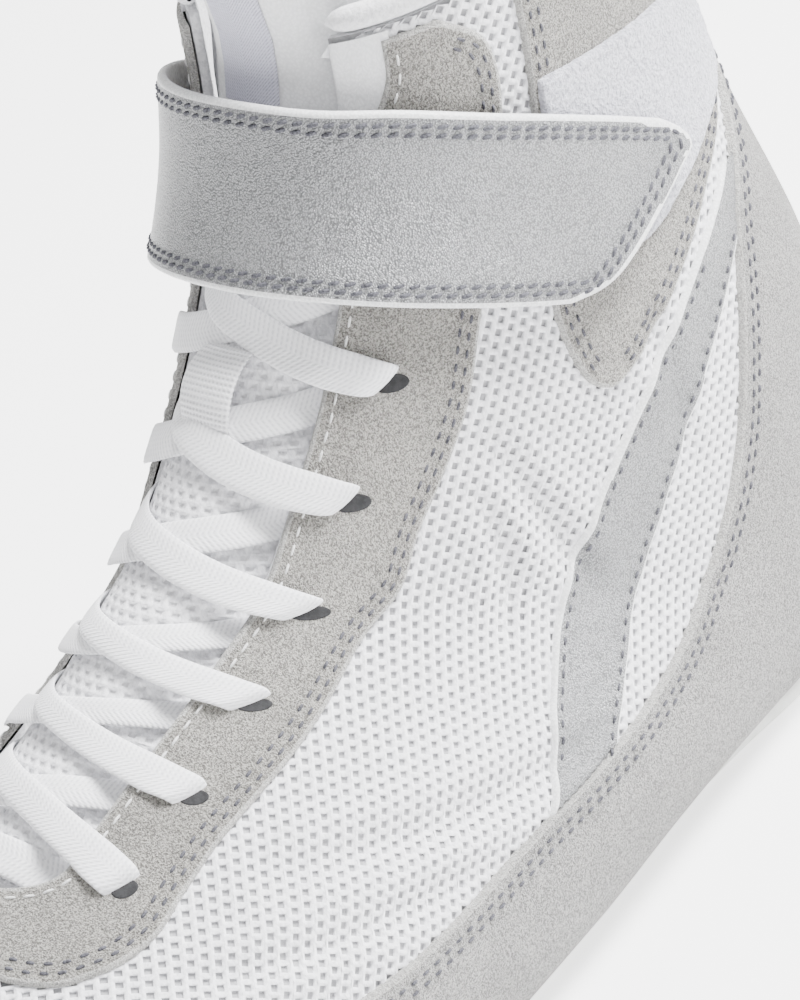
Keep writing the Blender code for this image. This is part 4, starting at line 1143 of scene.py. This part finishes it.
def make_foxing():
    """Suede wrap from the back of the heel along both sides and over the toe."""
    shape = Shape()
    lines = []
    for side in (1, -1):
        lines += overlay_edges(side, *FOXING_SPAN, FOXING_EDGE, feather_edge, ("near", "first"))
    tree = tree_over(np.concatenate(lines))
    extra = np.concatenate([np.linspace(17.0, FOXING_SPAN[1], 40), np.linspace(18.12, TOE_RING, 24)])
    for side in (1, -1):
        overlay(shape, side, *FOXING_SPAN, FOXING_EDGE, feather_edge, ("near", "first"),
                LOW, HIGH + CLEARANCE, 200, 26, 0.0009, tree, extra, rim=PALE_RIM)
    made = shape.build("foxing_suede_shell", FOXING_LOOK, RAW_LOOK, weld=WELD)
    return dress(made, "suede", "foxing")


def make_panel(side):
    """Pointed suede panel on one side of the ankle."""
    shape = Shape()
    overlay(shape, side, *PANEL_SPAN, PANEL_FRONT, PANEL_BACK, ("near", "far", "first"),
            LOW, HIGH, 90, 20, 0.0008, extra=np.linspace(4.9, PANEL_SPAN[1], 18), rim=PALE_RIM)
    made = shape.build(f"ankle_suede_{SIDE_NAMES[side]}", SUEDE_LOOK, RAW_LOOK, weld=WELD)
    return dress(made, "suede", f"ankle_panel_{SIDE_NAMES[side]}")


def make_band(side):
    """Plain band of one side, whose ends run on under the foxing."""
    shape = Shape()
    overlay(shape, side, *BAND_SPAN, BAND_FRONT, BAND_BACK, ("near", "far"),
            LOW, HIGH, 120, 16, 0.0007, under=FOXING_EDGE, rim=PALE_RIM)
    made = shape.build(f"side_band_face_{SIDE_NAMES[side]}", SILVER_LOOK, EDGE_LOOK, weld=WELD)
    return dress(made, "silver", f"side_band_{SIDE_NAMES[side]}")


# Loop pile: height over the suede, and how uneven its face is
PILE_HEIGHT = 0.0012
PILE_UNEVEN = 0.00012


def make_patch():
    """Loop pile: a soft pad whose face is slightly uneven."""
    shape = Shape()
    overlay(shape, 1, *PATCH_SPAN, PATCH_FRONT, PATCH_BACK, ("near", "far", "first"),
            HIGH, HIGH + PILE_HEIGHT, 70, 46, 0.0010, extra=np.linspace(3.5, PATCH_SPAN[1], 12))
    made = shape.build("loop_pile", PILE_LOOK, weld=WELD)
    rng = np.random.default_rng(7)
    mesh = made.data
    mesh.update()
    normals = np.zeros(len(mesh.vertices) * 3)
    points = np.zeros(len(mesh.vertices) * 3)
    mesh.vertices.foreach_get("normal", normals)
    mesh.vertices.foreach_get("co", points)
    rough = rng.uniform(-1, 1, len(mesh.vertices))[:, None] * PILE_UNEVEN
    mesh.vertices.foreach_set("co", (points.reshape(-1, 3) + normals.reshape(-1, 3) * rough).ravel())
    mesh.update()
    return dress(made, "pile", "loop_patch")


# Tongue: rings of its top edge, its front end and the end of its smooth face; radius of its sides, rings of
# its top roll, and how far its swelling keeps from the throat's edge
TONGUE_TOP = -1.6
TONGUE_FRONT = 13.9
TONGUE_FACE_END = 3.3
TONGUE_ROUND = 0.0014
TONGUE_ROLL = 0.2
TONGUE_ROOM = 0.0016


def tongue_half(ring):
    """Half width of the tongue at a ring, a little narrower towards both ends."""
    full = THROAT_WIDTH / 2 + TONGUE_MARGIN
    if ring > THROAT_SHOULDER - 1.5:
        full = full * (1 - 0.35 * (ring - THROAT_SHOULDER + 1.5) / (TONGUE_FRONT - THROAT_SHOULDER + 1.5))
    if ring < 0:
        full = full * (1 - 0.10 * ring / TONGUE_TOP)
    return full


def tongue_lift(ring, reach):
    """Lift of the tongue's outer face: under the wall at the sides, swollen in the opening."""
    under = -UPPER_WALL - 2.8 * CLEARANCE
    if ring < 1.0:
        beside_cuff = -UPPER_WALL / 2 - CUFF_RADIUS - 2 * CLEARANCE
        under += (beside_cuff - under) * min(1.0, (1.0 - ring) / 0.6)
    room = float(throat_half(ring + 0.25)) - TONGUE_ROOM
    if room <= 0.0015:
        return under + 0 * reach
    swell = np.maximum(1 - (np.abs(reach) / room) ** 3, 0.0)
    return under + TONGUE_BULGE * swell * min(1.0, room / 0.010)


def tongue_point(ring, reach, lift):
    """Points of the tongue; rings below 0 stand above the collar."""
    held = max(ring, 0.0)
    point = ACROSS.at(np.full(np.shape(reach), held), reach, lift)
    rise = TONGUE_RISE * max(-ring, 0.0) / -TONGUE_TOP
    return point + np.array([0.10, 0.0, 1.0]) * rise


def make_tongue():
    """Padded tongue: a closed pad with a rounded top edge and sides."""
    rings = np.concatenate([
        TONGUE_TOP + np.array([0.0, 0.02, 0.06, 0.12, TONGUE_ROLL]), np.linspace(-1.3, TONGUE_FRONT, 190)])
    columns = np.linspace(-1, 1, 61)
    columns = np.sign(columns) * np.abs(columns) ** 0.9
    outer = []
    inner = []
    for ring in rings:
        half = tongue_half(ring)
        reach = columns * half
        top = min((ring - TONGUE_TOP) / TONGUE_ROLL, 1.0)
        top = math.sqrt(1 - (1 - top) ** 2)
        side = np.sqrt(1 - np.clip((np.abs(reach) - half + TONGUE_ROUND) / TONGUE_ROUND, 0, 1) ** 2)
        round_off = np.minimum(top, side)
        lift = tongue_lift(ring, reach)
        full = TONGUE_THICKNESS * (0.30 + 0.70 * np.maximum(1 - np.abs(columns) ** 4, 0.0))
        low = np.minimum(lift - 0.0010, -UPPER_WALL - full)
        middle = (lift + low) / 2
        outer.append(tongue_point(ring, reach, middle + (lift - middle) * round_off))
        inner.append(tongue_point(ring, reach, middle + (low - middle) * round_off))
    outer = np.array(outer)
    inner = np.array(inner)
    face_rows = int((rings[:-1] < TONGUE_FACE_END).sum())
    shape = Shape()
    shape.grid(outer[:face_rows + 1], slot=0)
    shape.grid(outer[face_rows:], slot=1)
    shape.grid(inner, -1, slot=1)
    made = shape.build("tongue_pad", SMOOTH_LOOK, LINING_LOOK, weld=WELD)
    return dress(made, "tongue_mesh", "tongue")


def tongue_surface():
    """Outer face of the tongue in the throat, in rings and signed distance from the top centre."""
    rings = np.linspace(2.6, 13.6, 230)
    reaches = np.linspace(-0.0200, 0.0200, 81)
    points = np.array([tongue_point(ring, reaches, tongue_lift(ring, reaches)) for ring in rings])
    normals = unit(np.cross(np.gradient(points, axis=0), np.gradient(points, axis=1)))
    if normals[:, :, 2].mean() < 0:
        normals = -normals
    return Surface(rings, reaches, points, normals)


def make_tongue_net():
    """Raised air mesh over the tongue, with cells in staggered rows."""
    face = tongue_surface()
    run = run_along(face.points[:, len(face.columns) // 2])
    pitch = 0.0024
    row_pitch = pitch * 0.78
    hole = 0.00050
    top = 0.00045
    shape = Shape()
    for row in range(int(run[-1] / row_pitch)):
        down = (row + 0.5) * row_pitch
        across = np.arange(-9, 10) * pitch + (row % 2) * pitch / 2
        ring = np.interp(down, run, face.rows)
        across = across[np.abs(across) < float(throat_half(ring)) + 0.0005]
        if len(across) == 0:
            continue
        cells = []
        for reach_out, depth_out, lift in ((pitch / 2, row_pitch / 2, top),
                                           (hole * 1.1, hole * 0.85, top * 0.75),
                                           (hole * 1.1, hole * 0.85, -0.0001)):
            for dx, dy in ((-1, -1), (1, -1), (1, 1), (-1, 1)):
                rings = np.interp(down + dx * depth_out, run, face.rows)
                cells.append(face.at(np.full(len(across), rings), across + dy * reach_out, lift))
        points = np.stack(cells, 1)
        faces = CELL_FACES[None] + 12 * np.arange(len(across))[:, None, None]
        shape.add(points, faces.reshape(-1, 4))
    return dress(shape.build("tongue_net", NET_LOOK), "tongue_mesh")


def make_label():
    """Woven tape down the tongue's front."""
    rings = np.linspace(TONGUE_TOP + 0.22, 0.9, 40)
    columns = np.linspace(-1, 1, 15)
    centre = -0.02 * LABEL_WIDTH
    points = []
    uvs = []
    for ring in rings:
        reach = centre + columns * LABEL_WIDTH / 2
        lift = tongue_lift(ring, reach) + 0.0002 + 0.0008 * np.sqrt(1 - np.abs(columns) ** 6)
        points.append(tongue_point(ring, reach, lift))
        uvs.append(np.stack([np.zeros(len(columns)), reach], -1))
    points = np.array(points)
    uvs = np.array(uvs)
    uvs[:, :, 0] = run_along(points[:, len(columns) // 2])[:, None]
    shape = Shape()
    shape.grid(points, uvs=uvs)
    return dress(shape.build("tongue_tape", TAPE_LOOK), "label", "tongue_label")


# Laces: ring of the first eyelets, rows from an eyelet to where its crossing comes from under the far stay,
# and how far a lace runs on past an eyelet's centre
FIRST_EYELET_RING = 12.75
LACE_EDGE_SHIFT = 0.96
LACE_OVERRUN = 0.0010
# Half of the throat, and how far from its middle the eyelets stand
THROAT_HALF = THROAT_WIDTH / 2
EYELET_REACH = THROAT_HALF + EYELET_EDGE


def row_map():
    """Lacing rows and their rings, spaced by the eyelet pitch along the eyelet line."""
    rings = np.linspace(FIRST_EYELET_RING, 0.0, 181)
    line = ACROSS.at(rings, np.full(len(rings), EYELET_REACH), 0.0)
    return run_along(line) / EYELET_PITCH + 1, rings


ROW_NUMBERS, ROW_RINGS = row_map()


def ring_of_row(row):
    """Rings of lacing rows, which count from the toe; below row 1 they go on evenly."""
    before = FIRST_EYELET_RING + (1 - np.asarray(row, float)) * 1.6
    return np.where(np.asarray(row) < 1, before, np.interp(row, ROW_NUMBERS, ROW_RINGS))


# Eyelets from the toe up. Columns: shift along the rows (rows), sideways (metres)
EYELETS = [
    (-0.02, 0.0012), (-0.06, 0.0004), (0.00, -0.0016), (0.12, -0.0034), (0.16, -0.0026), (0.20, -0.0010),
    (0.20, 0.0)]


def eyelet_place(row, side):
    """Row and signed reach of an eyelet's centre."""
    shift, aside = EYELETS[row - 1]
    return row + shift, side * (EYELET_REACH + aside)


# Points across a lace, heights that keep it off the tongue and the suede, and its bends: how near its end it
# dives and how deep, and how near it bunches up
LACE_PROFILE = 9
OVER_TONGUE = 0.0009
OVER_SUEDE = 0.0002
DIVE_RUN = 0.0024
DIVE_DEPTH = 0.0024
BUNCH_RUN = 0.0070
# Rise of a lateral crossing over the medial one, and of each over the throat's edge
CROSSING_RISE = 0.00125
EDGE_RISE = 0.00030
# Bow of each crossing sideways, by row, in metres: lateral ones, then medial ones
BOWS = {
    1: (0.0008, -0.0006, 0.0010, 0.0004, -0.0005, 0.0007),
    -1: (-0.0005, 0.0008, -0.0007, 0.0006, 0.0005, -0.0006)}


def add_ribbon(shape, rows, reaches, lifts, widths, cups, thickness):
    """Flat lace along a path of lacing rows and reaches, as a closed band with rounded edges."""
    path = np.stack([rows * EYELET_PITCH, reaches], -1)
    ahead = unit(np.gradient(path, axis=0))
    aside = np.stack([-ahead[:, 1], ahead[:, 0]], -1)
    across = np.sin(np.linspace(-math.pi / 2, math.pi / 2, LACE_PROFILE))
    edge = np.sqrt(np.maximum(1 - across ** 4, 0))
    loops = np.concatenate([across, across[-2:0:-1]])
    heights = np.concatenate([thickness * (0.5 + 0.5 * edge), (thickness * (0.5 - 0.5 * edge))[-2:0:-1]])
    spot = path[:, None, :] + aside[:, None, :] * loops[None, :, None] * widths[:, None, None] / 2
    lift = lifts[:, None] + heights[None, :] + cups[:, None] * (np.abs(loops) ** 2)[None, :]
    points = ACROSS.at(ring_of_row(spot[..., 0] / EYELET_PITCH), spot[..., 1], lift)
    run = run_along(points.mean(1))
    uvs = np.stack([np.repeat(run[:, None], len(loops), 1), loops[None, :] * widths[:, None] / 2], -1)
    shape.grid(points, 1, wrap=True, uvs=uvs)


def lift_of_tongue(row, reach):
    """Lift of the tongue's face at a lacing row."""
    return float(tongue_lift(float(ring_of_row(row)), np.array([reach]))[0])


def lace_floor(row, reach, over_side):
    """Lowest lift a lace may have: over the tongue, under one eyestay and over the other."""
    over_tongue = lift_of_tongue(row, reach) + OVER_TONGUE
    before = 0.006
    signed = reach * over_side
    climb = eased(np.clip((signed + before) / (THROAT_HALF - 0.0005 + before), 0, 1))
    return over_tongue * (1 - climb) + (HIGH + OVER_SUEDE) * climb if signed > -before else over_tongue


def make_laces():
    """Crossings from under one side of the throat into the eyelets of the other, and the bar at the toe."""
    shape = Shape()
    share = np.concatenate([np.linspace(0, 0.90, 40), np.linspace(0.91, 1.0, 14)])
    for row in range(1, 7):
        for over_side in (-1, 1):
            end_row, end_reach = eyelet_place(row, over_side)
            start = np.array([end_row + LACE_EDGE_SHIFT, -over_side * (THROAT_HALF + 0.003)])
            end = np.array([end_row, end_reach + over_side * LACE_OVERRUN])
            rows = start[0] + (end[0] - start[0]) * share
            reaches = start[1] + (end[1] - start[1]) * share
            bow = BOWS[over_side][row - 1] * np.sin(math.pi * share)
            rows = rows + bow / EYELET_PITCH
            lifts = np.array([lace_floor(r, q, over_side) for r, q in zip(rows, reaches)])
            crossing = np.exp(-((reaches * over_side + 0.001) / 0.0052) ** 2)
            lifts = lifts + (CROSSING_RISE * crossing if over_side > 0 else 0.0)
            near_edge = np.exp(-((reaches * over_side - THROAT_HALF + 0.0005) / 0.004) ** 2)
            lifts = lifts + EDGE_RISE * near_edge
            away = (1 - share) * np.hypot((start[0] - end[0]) * EYELET_PITCH, start[1] - end[1])
            dive = np.clip(1 - away / DIVE_RUN, 0, 1)
            lifts = lifts - DIVE_DEPTH * dive ** 2.2 + 0.0005 * np.exp(-((away - 0.0030) / 0.0018) ** 2)
            bunch = np.clip(1 - away / BUNCH_RUN, 0, 1)
            widths = LACE_WIDTH * (1 - 0.22 * bunch ** 1.4 - 0.20 * dive ** 2)
            cups = 0.0003 * bunch * (1 - dive) - 0.0006 * dive
            add_ribbon(shape, rows, reaches, lifts, widths, cups, LACE_THICKNESS)
    bar = np.linspace(-1, 1, 30)
    rows = np.full(30, 0.97) - 0.06 * (1 - bar ** 2)
    reaches = bar * EYELET_REACH
    lifts = np.array([lift_of_tongue(r, q) + 0.0007 for r, q in zip(rows, reaches)])
    add_ribbon(shape, rows, reaches, lifts, np.full(30, LACE_WIDTH * 0.9), np.zeros(30), LACE_THICKNESS)
    made = shape.build("lace_run", LACE_LOOK)
    return dress(made, "lace", "laces")


# Painted shade of the eyelets' holes: dark discs over the suede. Columns: radius (share of EYELET_RADIUS),
# lift over the suede (metres)
WELL_PROFILE = ((0.2, 0.00012), (0.62, 0.00012), (0.70, 0.00013), (0.78, -0.00010))
WELL_ASIDE = 0.0006


def make_eyelets():
    """Punched holes in the eyestay, as dark wells of painted shade in the suede."""
    shape = Shape()
    turns = np.linspace(0, 2 * math.pi, 25)[:-1]
    for row in range(1, 8):
        for side in (1, -1):
            middle, reach = eyelet_place(row, side)
            spots = []
            for radius, lift in WELL_PROFILE:
                rows = middle + radius * EYELET_RADIUS * np.cos(turns) / EYELET_PITCH
                reaches = reach + side * WELL_ASIDE + radius * EYELET_RADIUS * np.sin(turns)
                spots.append(ACROSS.at(ring_of_row(rows), reaches, HIGH + lift))
            shape.grid(np.array(spots), 1, wrap=True)
            shape.add(spots[0], [[0, n, n + 1, n + 1] for n in range(1, 23)])
    return dress(shape.build("eyelet_shade_wells", HOLE_SHADE_LOOK), "suede")


def make_loop():
    """Webbing loop over the tongue: a band that arches over the lace."""
    shape = Shape()
    rows = np.linspace(5.72, 6.50, 40)
    centre = 0.0005
    share = np.linspace(0, 1, 40)
    hump = 0.0036 * np.sin(math.pi * np.clip(share / 0.96, 0, 1)) ** 0.6
    lifts = np.array([lift_of_tongue(row, centre) for row in rows]) + 0.0008 + hump
    add_ribbon(shape, rows, np.full(40, centre), lifts, np.full(40, LOOP_WIDTH), np.zeros(40), 0.0010)
    made = shape.build("loop_webbing", LOOP_LOOK)
    return dress(made, "lace", "lace_loop")


def strap_place(across, along):
    """Ring, share and lift under the strap at a share across it and a share along it from its root."""
    end = smooth(STRAP_END[:, 0], STRAP_END[:, 1], across)
    start = STRAP[0, 0]
    share = start + (end - start) * along
    row = smooth(STRAP[:, 0], STRAP[:, 1:], share)
    ring = row[..., 0] + (row[..., 1] - row[..., 0]) * across
    lift = row[..., 2] + (row[..., 3] - row[..., 2]) * across
    return ring, share, lift


# Strap: radius of its rolled edge, width of its white rim, and rise of its middle
STRAP_ROLL = 0.0007
STRAP_RIM = 0.0012
STRAP_CROWN = 0.00035


def make_strap():
    """Ankle strap: a crowned face with a white rolled rim, and its underside."""
    across = np.concatenate([
        [0, 0.006, 0.016, 0.03, 0.05], np.linspace(0.08, 0.92, 26), [0.95, 0.97, 0.984, 0.994, 1.0]])
    along = np.concatenate([np.linspace(0, 0.985, 110), [0.990, 0.994, 0.997, 0.999, 1.0]])
    grid_across, grid_along = np.meshgrid(across, along, indexing="ij")
    ring, share, lift = strap_place(grid_across, grid_along)
    base = SKIN.at(ring, share, lift)
    rim = []
    for line in (base[0, :], base[-1, :], base[:, -1]):
        rim += [line[:-1] + (line[1:] - line[:-1]) * t for t in np.linspace(0, 1, 12)]
    gap = gaps_to(tree_over(np.concatenate(rim)), base)
    part = 1 - np.clip(gap / STRAP_ROLL, 0, 1)
    roll = np.sqrt(1 - part ** 2)
    crown = STRAP_CROWN * np.sin(math.pi * grid_across) ** 0.5
    top = SKIN.at(ring, share, lift + STRAP_THICKNESS * (0.5 + 0.5 * roll) + crown * roll)
    bottom = SKIN.at(ring, share, lift + STRAP_THICKNESS * 0.5 * (1 - roll))
    band = (gap[:-1, :-1] + gap[1:, 1:]) / 2 < STRAP_RIM
    shape = Shape()
    shape.grid(top, 1, slot=0, keep=~band)
    shape.grid(top, 1, slot=1, keep=band)
    shape.grid(bottom, -1, slot=2)
    made = shape.build("strap_face", SILVER_LOOK, EDGE_LOOK, LINING_LOOK, weld=WELD)
    return dress(made, "silver", "ankle_strap")


def strap_line(across, along, extra):
    """Line over the strap's face."""
    ring, share, lift = strap_place(across, along)
    return SKIN.at(ring, share, lift + STRAP_THICKNESS + extra)


# Rough width and length of the strap, for the insets of its stitches
STRAP_WIDTH = 0.044
STRAP_LENGTH = 0.150


def add_strap_stitches(shape):
    """Two rows of twisted lockstitch round the strap's long edges and its free end."""
    for inset in (0.0030, 0.0050):
        edge = inset / STRAP_WIDTH
        back = 1 - inset / STRAP_LENGTH
        long_run = np.linspace(0.0, back, 160)
        turn = np.linspace(edge, 1 - edge, 60)
        path = np.concatenate([
            strap_line(np.full(160, edge), long_run, 0.0002),
            strap_line(turn[1:-1], np.full(58, back), 0.0003),
            strap_line(np.full(160, 1 - edge), long_run[::-1], 0.0002)])
        spots, ahead = spaced_along(path, 0.00265)
        nearest = np.array([SKIN_TREE.find(point)[1] for point in spots])
        out = SKIN_NORMALS[nearest]
        add_stitches(shape, spots, ahead, out, 0.0022, 0.00042, 0.28)


def make_cuff():
    """Padded roll round the collar."""
    one_side = np.linspace(float(throat_edge(1)(0.0)), 1.0, 70)
    shares = np.concatenate([one_side, -one_side[-2::-1]])
    ring = np.zeros(len(shares))
    rim = SKIN.at(ring, shares, 0.0)
    middle = SKIN.at(ring, shares, -UPPER_WALL / 2)
    outward = unit(rim - middle)
    ends = np.minimum(np.arange(len(shares)), np.arange(len(shares))[::-1]) / 3.0
    girth = np.sqrt(1 - np.clip(1 - ends, 0, 0.98) ** 2)
    turns = np.linspace(0, 2 * math.pi, 17)[:-1]
    up = np.array([0.0, 0.0, 1.0])
    rows = []
    for place in range(len(shares)):
        centre = middle[place] + up * (CLEARANCE + CUFF_RADIUS)
        radius = CUFF_RADIUS * girth[place]
        rows.append(centre + radius * (np.cos(turns)[:, None] * outward[place] + np.sin(turns)[:, None] * up))
    shape = Shape()
    shape.grid(np.array(rows), 1, wrap=True)
    made = shape.build("collar_roll", LINING_LOOK)
    return dress(made, "lining", "collar_cuff")


# Ribs of the sole's sidewall: pitch, depth and where they start
RIB_PITCH = 0.0009
RIB_DEPTH = 0.00022
RIB_START = 0.106
# Profile of the sidewall. Columns: reach past the feather line (metres), share of the way up to it
SOLE_LEVELS = (
    (-0.0006, 1.0), (SOLE_LIP * 0.6, 0.93), (SOLE_LIP, 0.84), (SOLE_LIP, 0.66),
    (SOLE_LIP + SOLE_STEP, 0.60), (SOLE_LIP + SOLE_STEP, 0.40), (SOLE_LIP + SOLE_STEP, 0.22),
    (SOLE_LIP - 0.0002, 0.06), (SOLE_LIP - 0.0012, 0.0))
RIBBED_LEVELS = (4, 5, 6)
# Fields of grooves. Columns: start and end (shares of LENGTH), sweep of the chevrons (metres)
GROOVES = ((0.045, 0.235, -0.006), (0.56, 0.76, 0.010))


def plan_edge(along, side, out):
    """Point of the outline moved out along its normal in plan."""
    point = np.array([along * LENGTH, float(outline(along)[0 if side > 0 else 1])])
    return point + plan_normal(along, side) * out


def groove_depth(x, y):
    """How far the tread is cut at a place by the shallow chevron grooves."""
    cut = 0.0
    for first, last, sweep in GROOVES:
        count = int((last - first) * LENGTH / GROOVE_PITCH)
        lean = sweep * (1 - abs(y) / (BALL_WIDTH * 0.62))
        for number in range(count + 1):
            middle = first * LENGTH + number * GROOVE_PITCH + lean + GROOVE_WIDTH / 2
            cut = max(cut, GROOVE_DEPTH * min(max((GROOVE_WIDTH / 2 - abs(x - middle)) / 0.0004, 0.0), 1.0))
    return cut


def make_outsole():
    """Rubber sole: stations along the shoe, each a loop down one side, across the tread and up the other."""
    places = np.linspace(0, 1, 700)
    stations = (1 - np.cos(math.pi * places)) / 2
    stations = 0.5 * stations + 0.5 * places
    across = np.linspace(0, 1, 32)[1:-1]
    grid = []
    for along in stations:
        sides = {}
        for side in (1, -1):
            found = []
            for number, (out, share) in enumerate(SOLE_LEVELS):
                if side > 0:
                    out = out - float(waist_tuck(along * LENGTH))
                x, y = plan_edge(along, side, out)
                if number in RIBBED_LEVELS and x > RIB_START:
                    rib = RIB_DEPTH * (0.5 + 0.5 * math.cos(2 * math.pi * x / RIB_PITCH))
                    x, y = plan_edge(along, side, out - rib)
                held = min(max(x / LENGTH, 0.0), 1.0)
                low = float(underside(held))
                z = low + share * (float(feather(held)) - CLEARANCE - low)
                found.append(np.array([x, y, z]))
            sides[side] = found
        loop = list(sides[1])
        for share in across:
            spot = sides[1][-1] + (sides[-1][-1] - sides[1][-1]) * share
            spot[2] = float(underside(min(max(spot[0] / LENGTH, 0.0), 1.0)))
            if spot[2] < 0.0002:
                spot[2] += groove_depth(spot[0], spot[1])
            loop.append(spot)
        loop += list(reversed(sides[-1]))
        grid.append(loop)
    shape = Shape()
    shape.grid(np.array(grid), 1, wrap=True)
    made = shape.build("outsole_rubber", RUBBER_LOOK, weld=WELD)
    return dress(made, "rubber", "outsole")


# Stitches of the upper's seams: pitch, length and radius
GREY_STITCH = (0.0029, 0.0016, 0.00032)
FOXING_STITCH = (0.0029, 0.0016, 0.00034)
BAND_STITCH = (0.0029, 0.0015, 0.00032)
PALE_STITCH = (0.0032, 0.0020, 0.00024)


def make_seams():
    """All seams of the upper: grey lockstitch round the overlays, pale rows on the suede."""
    grey = Shape()
    pale = Shape()
    top = HIGH + 0.0001
    for side in (1, -1):
        for inset in (0.0020, 0.0037):
            seam(grey, *edge_line(0.3, 14.3, side, EYESTAY_EDGE), -side, inset, top, *GREY_STITCH)
            seam(grey, *edge_line(0.3, 17.9, side, FOXING_EDGE, 320), side, inset + 0.0006, top + CLEARANCE,
                 *FOXING_STITCH)
            seam(grey, *edge_line(0.3, 5.1, side, PANEL_FRONT), side, inset, top, *GREY_STITCH)
            seam(grey, *edge_line(2.6, 5.1, side, PANEL_BACK), -side, inset, top, *GREY_STITCH)
        seam(pale, *edge_line(0.3, 13.3, side, tab_edge(side)), side, 0.0022, top, *PALE_STITCH)
        for edge, inward in ((BAND_FRONT, side), (BAND_BACK, -side)):
            seam(grey, *edge_line(4.1, 10.9, side, edge), inward, 0.0019, top, *BAND_STITCH)
    dress(pale.build("pale_stitches", PALE_THREAD_LOOK), "lace")
    add_strap_stitches(grey)
    dress(grey.build("grey_stitches", THREAD_LOOK), "lace")


# Camera: the photo's angle to the shoe, found from points on it, with angles in radians, distances in metres
# and the shifts in pixels of the image's height
VIEW_AZIMUTH = 0.673776
VIEW_ELEVATION = 0.556754
VIEW_ROLL = 0.278475
VIEW_DISTANCE = 0.62156
VIEW_CENTRE = (0.120 - HEEL_SEAT, 0.010, 0.070)
VIEW_LENS = 128.93
IMAGE_HEIGHT = 1000
CENTRE_LEFT = 19.65
CENTRE_DOWN = 81.27


def make_camera():
    """Camera at the photo's angle, rolled about its line of sight."""
    az, el, roll = VIEW_AZIMUTH, VIEW_ELEVATION, VIEW_ROLL
    towards = Vector((math.sin(az) * math.cos(el), math.cos(az) * math.cos(el), math.sin(el)))
    level = Vector((-math.cos(az), math.sin(az), 0.0))
    upright = Vector((-math.sin(az) * math.sin(el), -math.cos(az) * math.sin(el), math.cos(el)))
    right = level * math.cos(roll) - upright * math.sin(roll)
    up = level * math.sin(roll) + upright * math.cos(roll)
    data = bpy.data.cameras.new("camera")
    data.lens = VIEW_LENS
    data.sensor_width = 36.0
    data.shift_x = CENTRE_LEFT / IMAGE_HEIGHT
    data.shift_y = CENTRE_DOWN / IMAGE_HEIGHT
    camera = bpy.data.objects.new("camera", data)
    turn = Matrix((right, up, towards)).transposed()
    camera.matrix_world = Matrix.Translation(Vector(VIEW_CENTRE) + towards * VIEW_DISTANCE) @ turn.to_4x4()
    bpy.context.scene.collection.objects.link(camera)
    bpy.context.scene.camera = camera


# Lights, aimed at the middle of the shoe. Columns: name, place, size, power
LIGHTS = (
    ("key", (-0.50, 0.40, 1.15), 0.5, 84.0),
    ("fill", (0.9, 0.8, 0.8), 0.9, 5.0),
    ("back", (0.0, -1.0, 1.0), 1.0, 8.0))
LIGHT_TARGET = (0.08, 0.0, 0.06)


def add_light(name, place, size, power):
    """Soft square light aimed at the shoe."""
    data = bpy.data.lights.new(name, "AREA")
    data.energy = power
    data.shape = "SQUARE"
    data.size = size
    light = bpy.data.objects.new(name, data)
    light.location = place
    light.rotation_euler = (Vector(LIGHT_TARGET) - Vector(place)).to_track_quat("-Z", "Y").to_euler()
    bpy.context.scene.collection.objects.link(light)


def make_stage():
    """Pale floor that shines a little, an even world and the soft lights."""
    mesh = bpy.data.meshes.new("floor")
    half = 3.0
    corners = [(-half, -half, 0), (half, -half, 0), (half, half, 0), (-half, half, 0)]
    mesh.from_pydata(corners, [], [(0, 1, 2, 3)])
    look = Look("floor", (0.90, 0.90, 0.90), 0.9, Emission_Strength=1.5)
    look.feed(look.shader["Emission Color"], (1.0, 1.0, 1.0))
    mesh.materials.append(look.material)
    floor = bpy.data.objects.new("floor", mesh)
    bpy.context.scene.collection.objects.link(floor)
    world = bpy.data.worlds.new("studio")
    world.use_nodes = True
    background = world.node_tree.nodes["Background"].inputs
    background["Color"].default_value = (1.0, 1.0, 1.0, 1.0)
    background["Strength"].default_value = 0.50
    bpy.context.scene.world = world
    for light in LIGHTS:
        add_light(*light)


make_camera()
make_stage()
make_upper()
for side in (1, -1):
    make_net(side)
    make_panel(side)
    make_band(side)
make_eyestay()
make_facing()
make_foxing()
make_patch()
make_tongue()
make_tongue_net()
make_label()
make_laces()
make_eyelets()
make_loop()
make_strap()
make_cuff()
make_outsole()
make_seams()
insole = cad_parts["insole"]
insole.data.materials.clear()
insole.data.materials.append(LINING_LOOK)
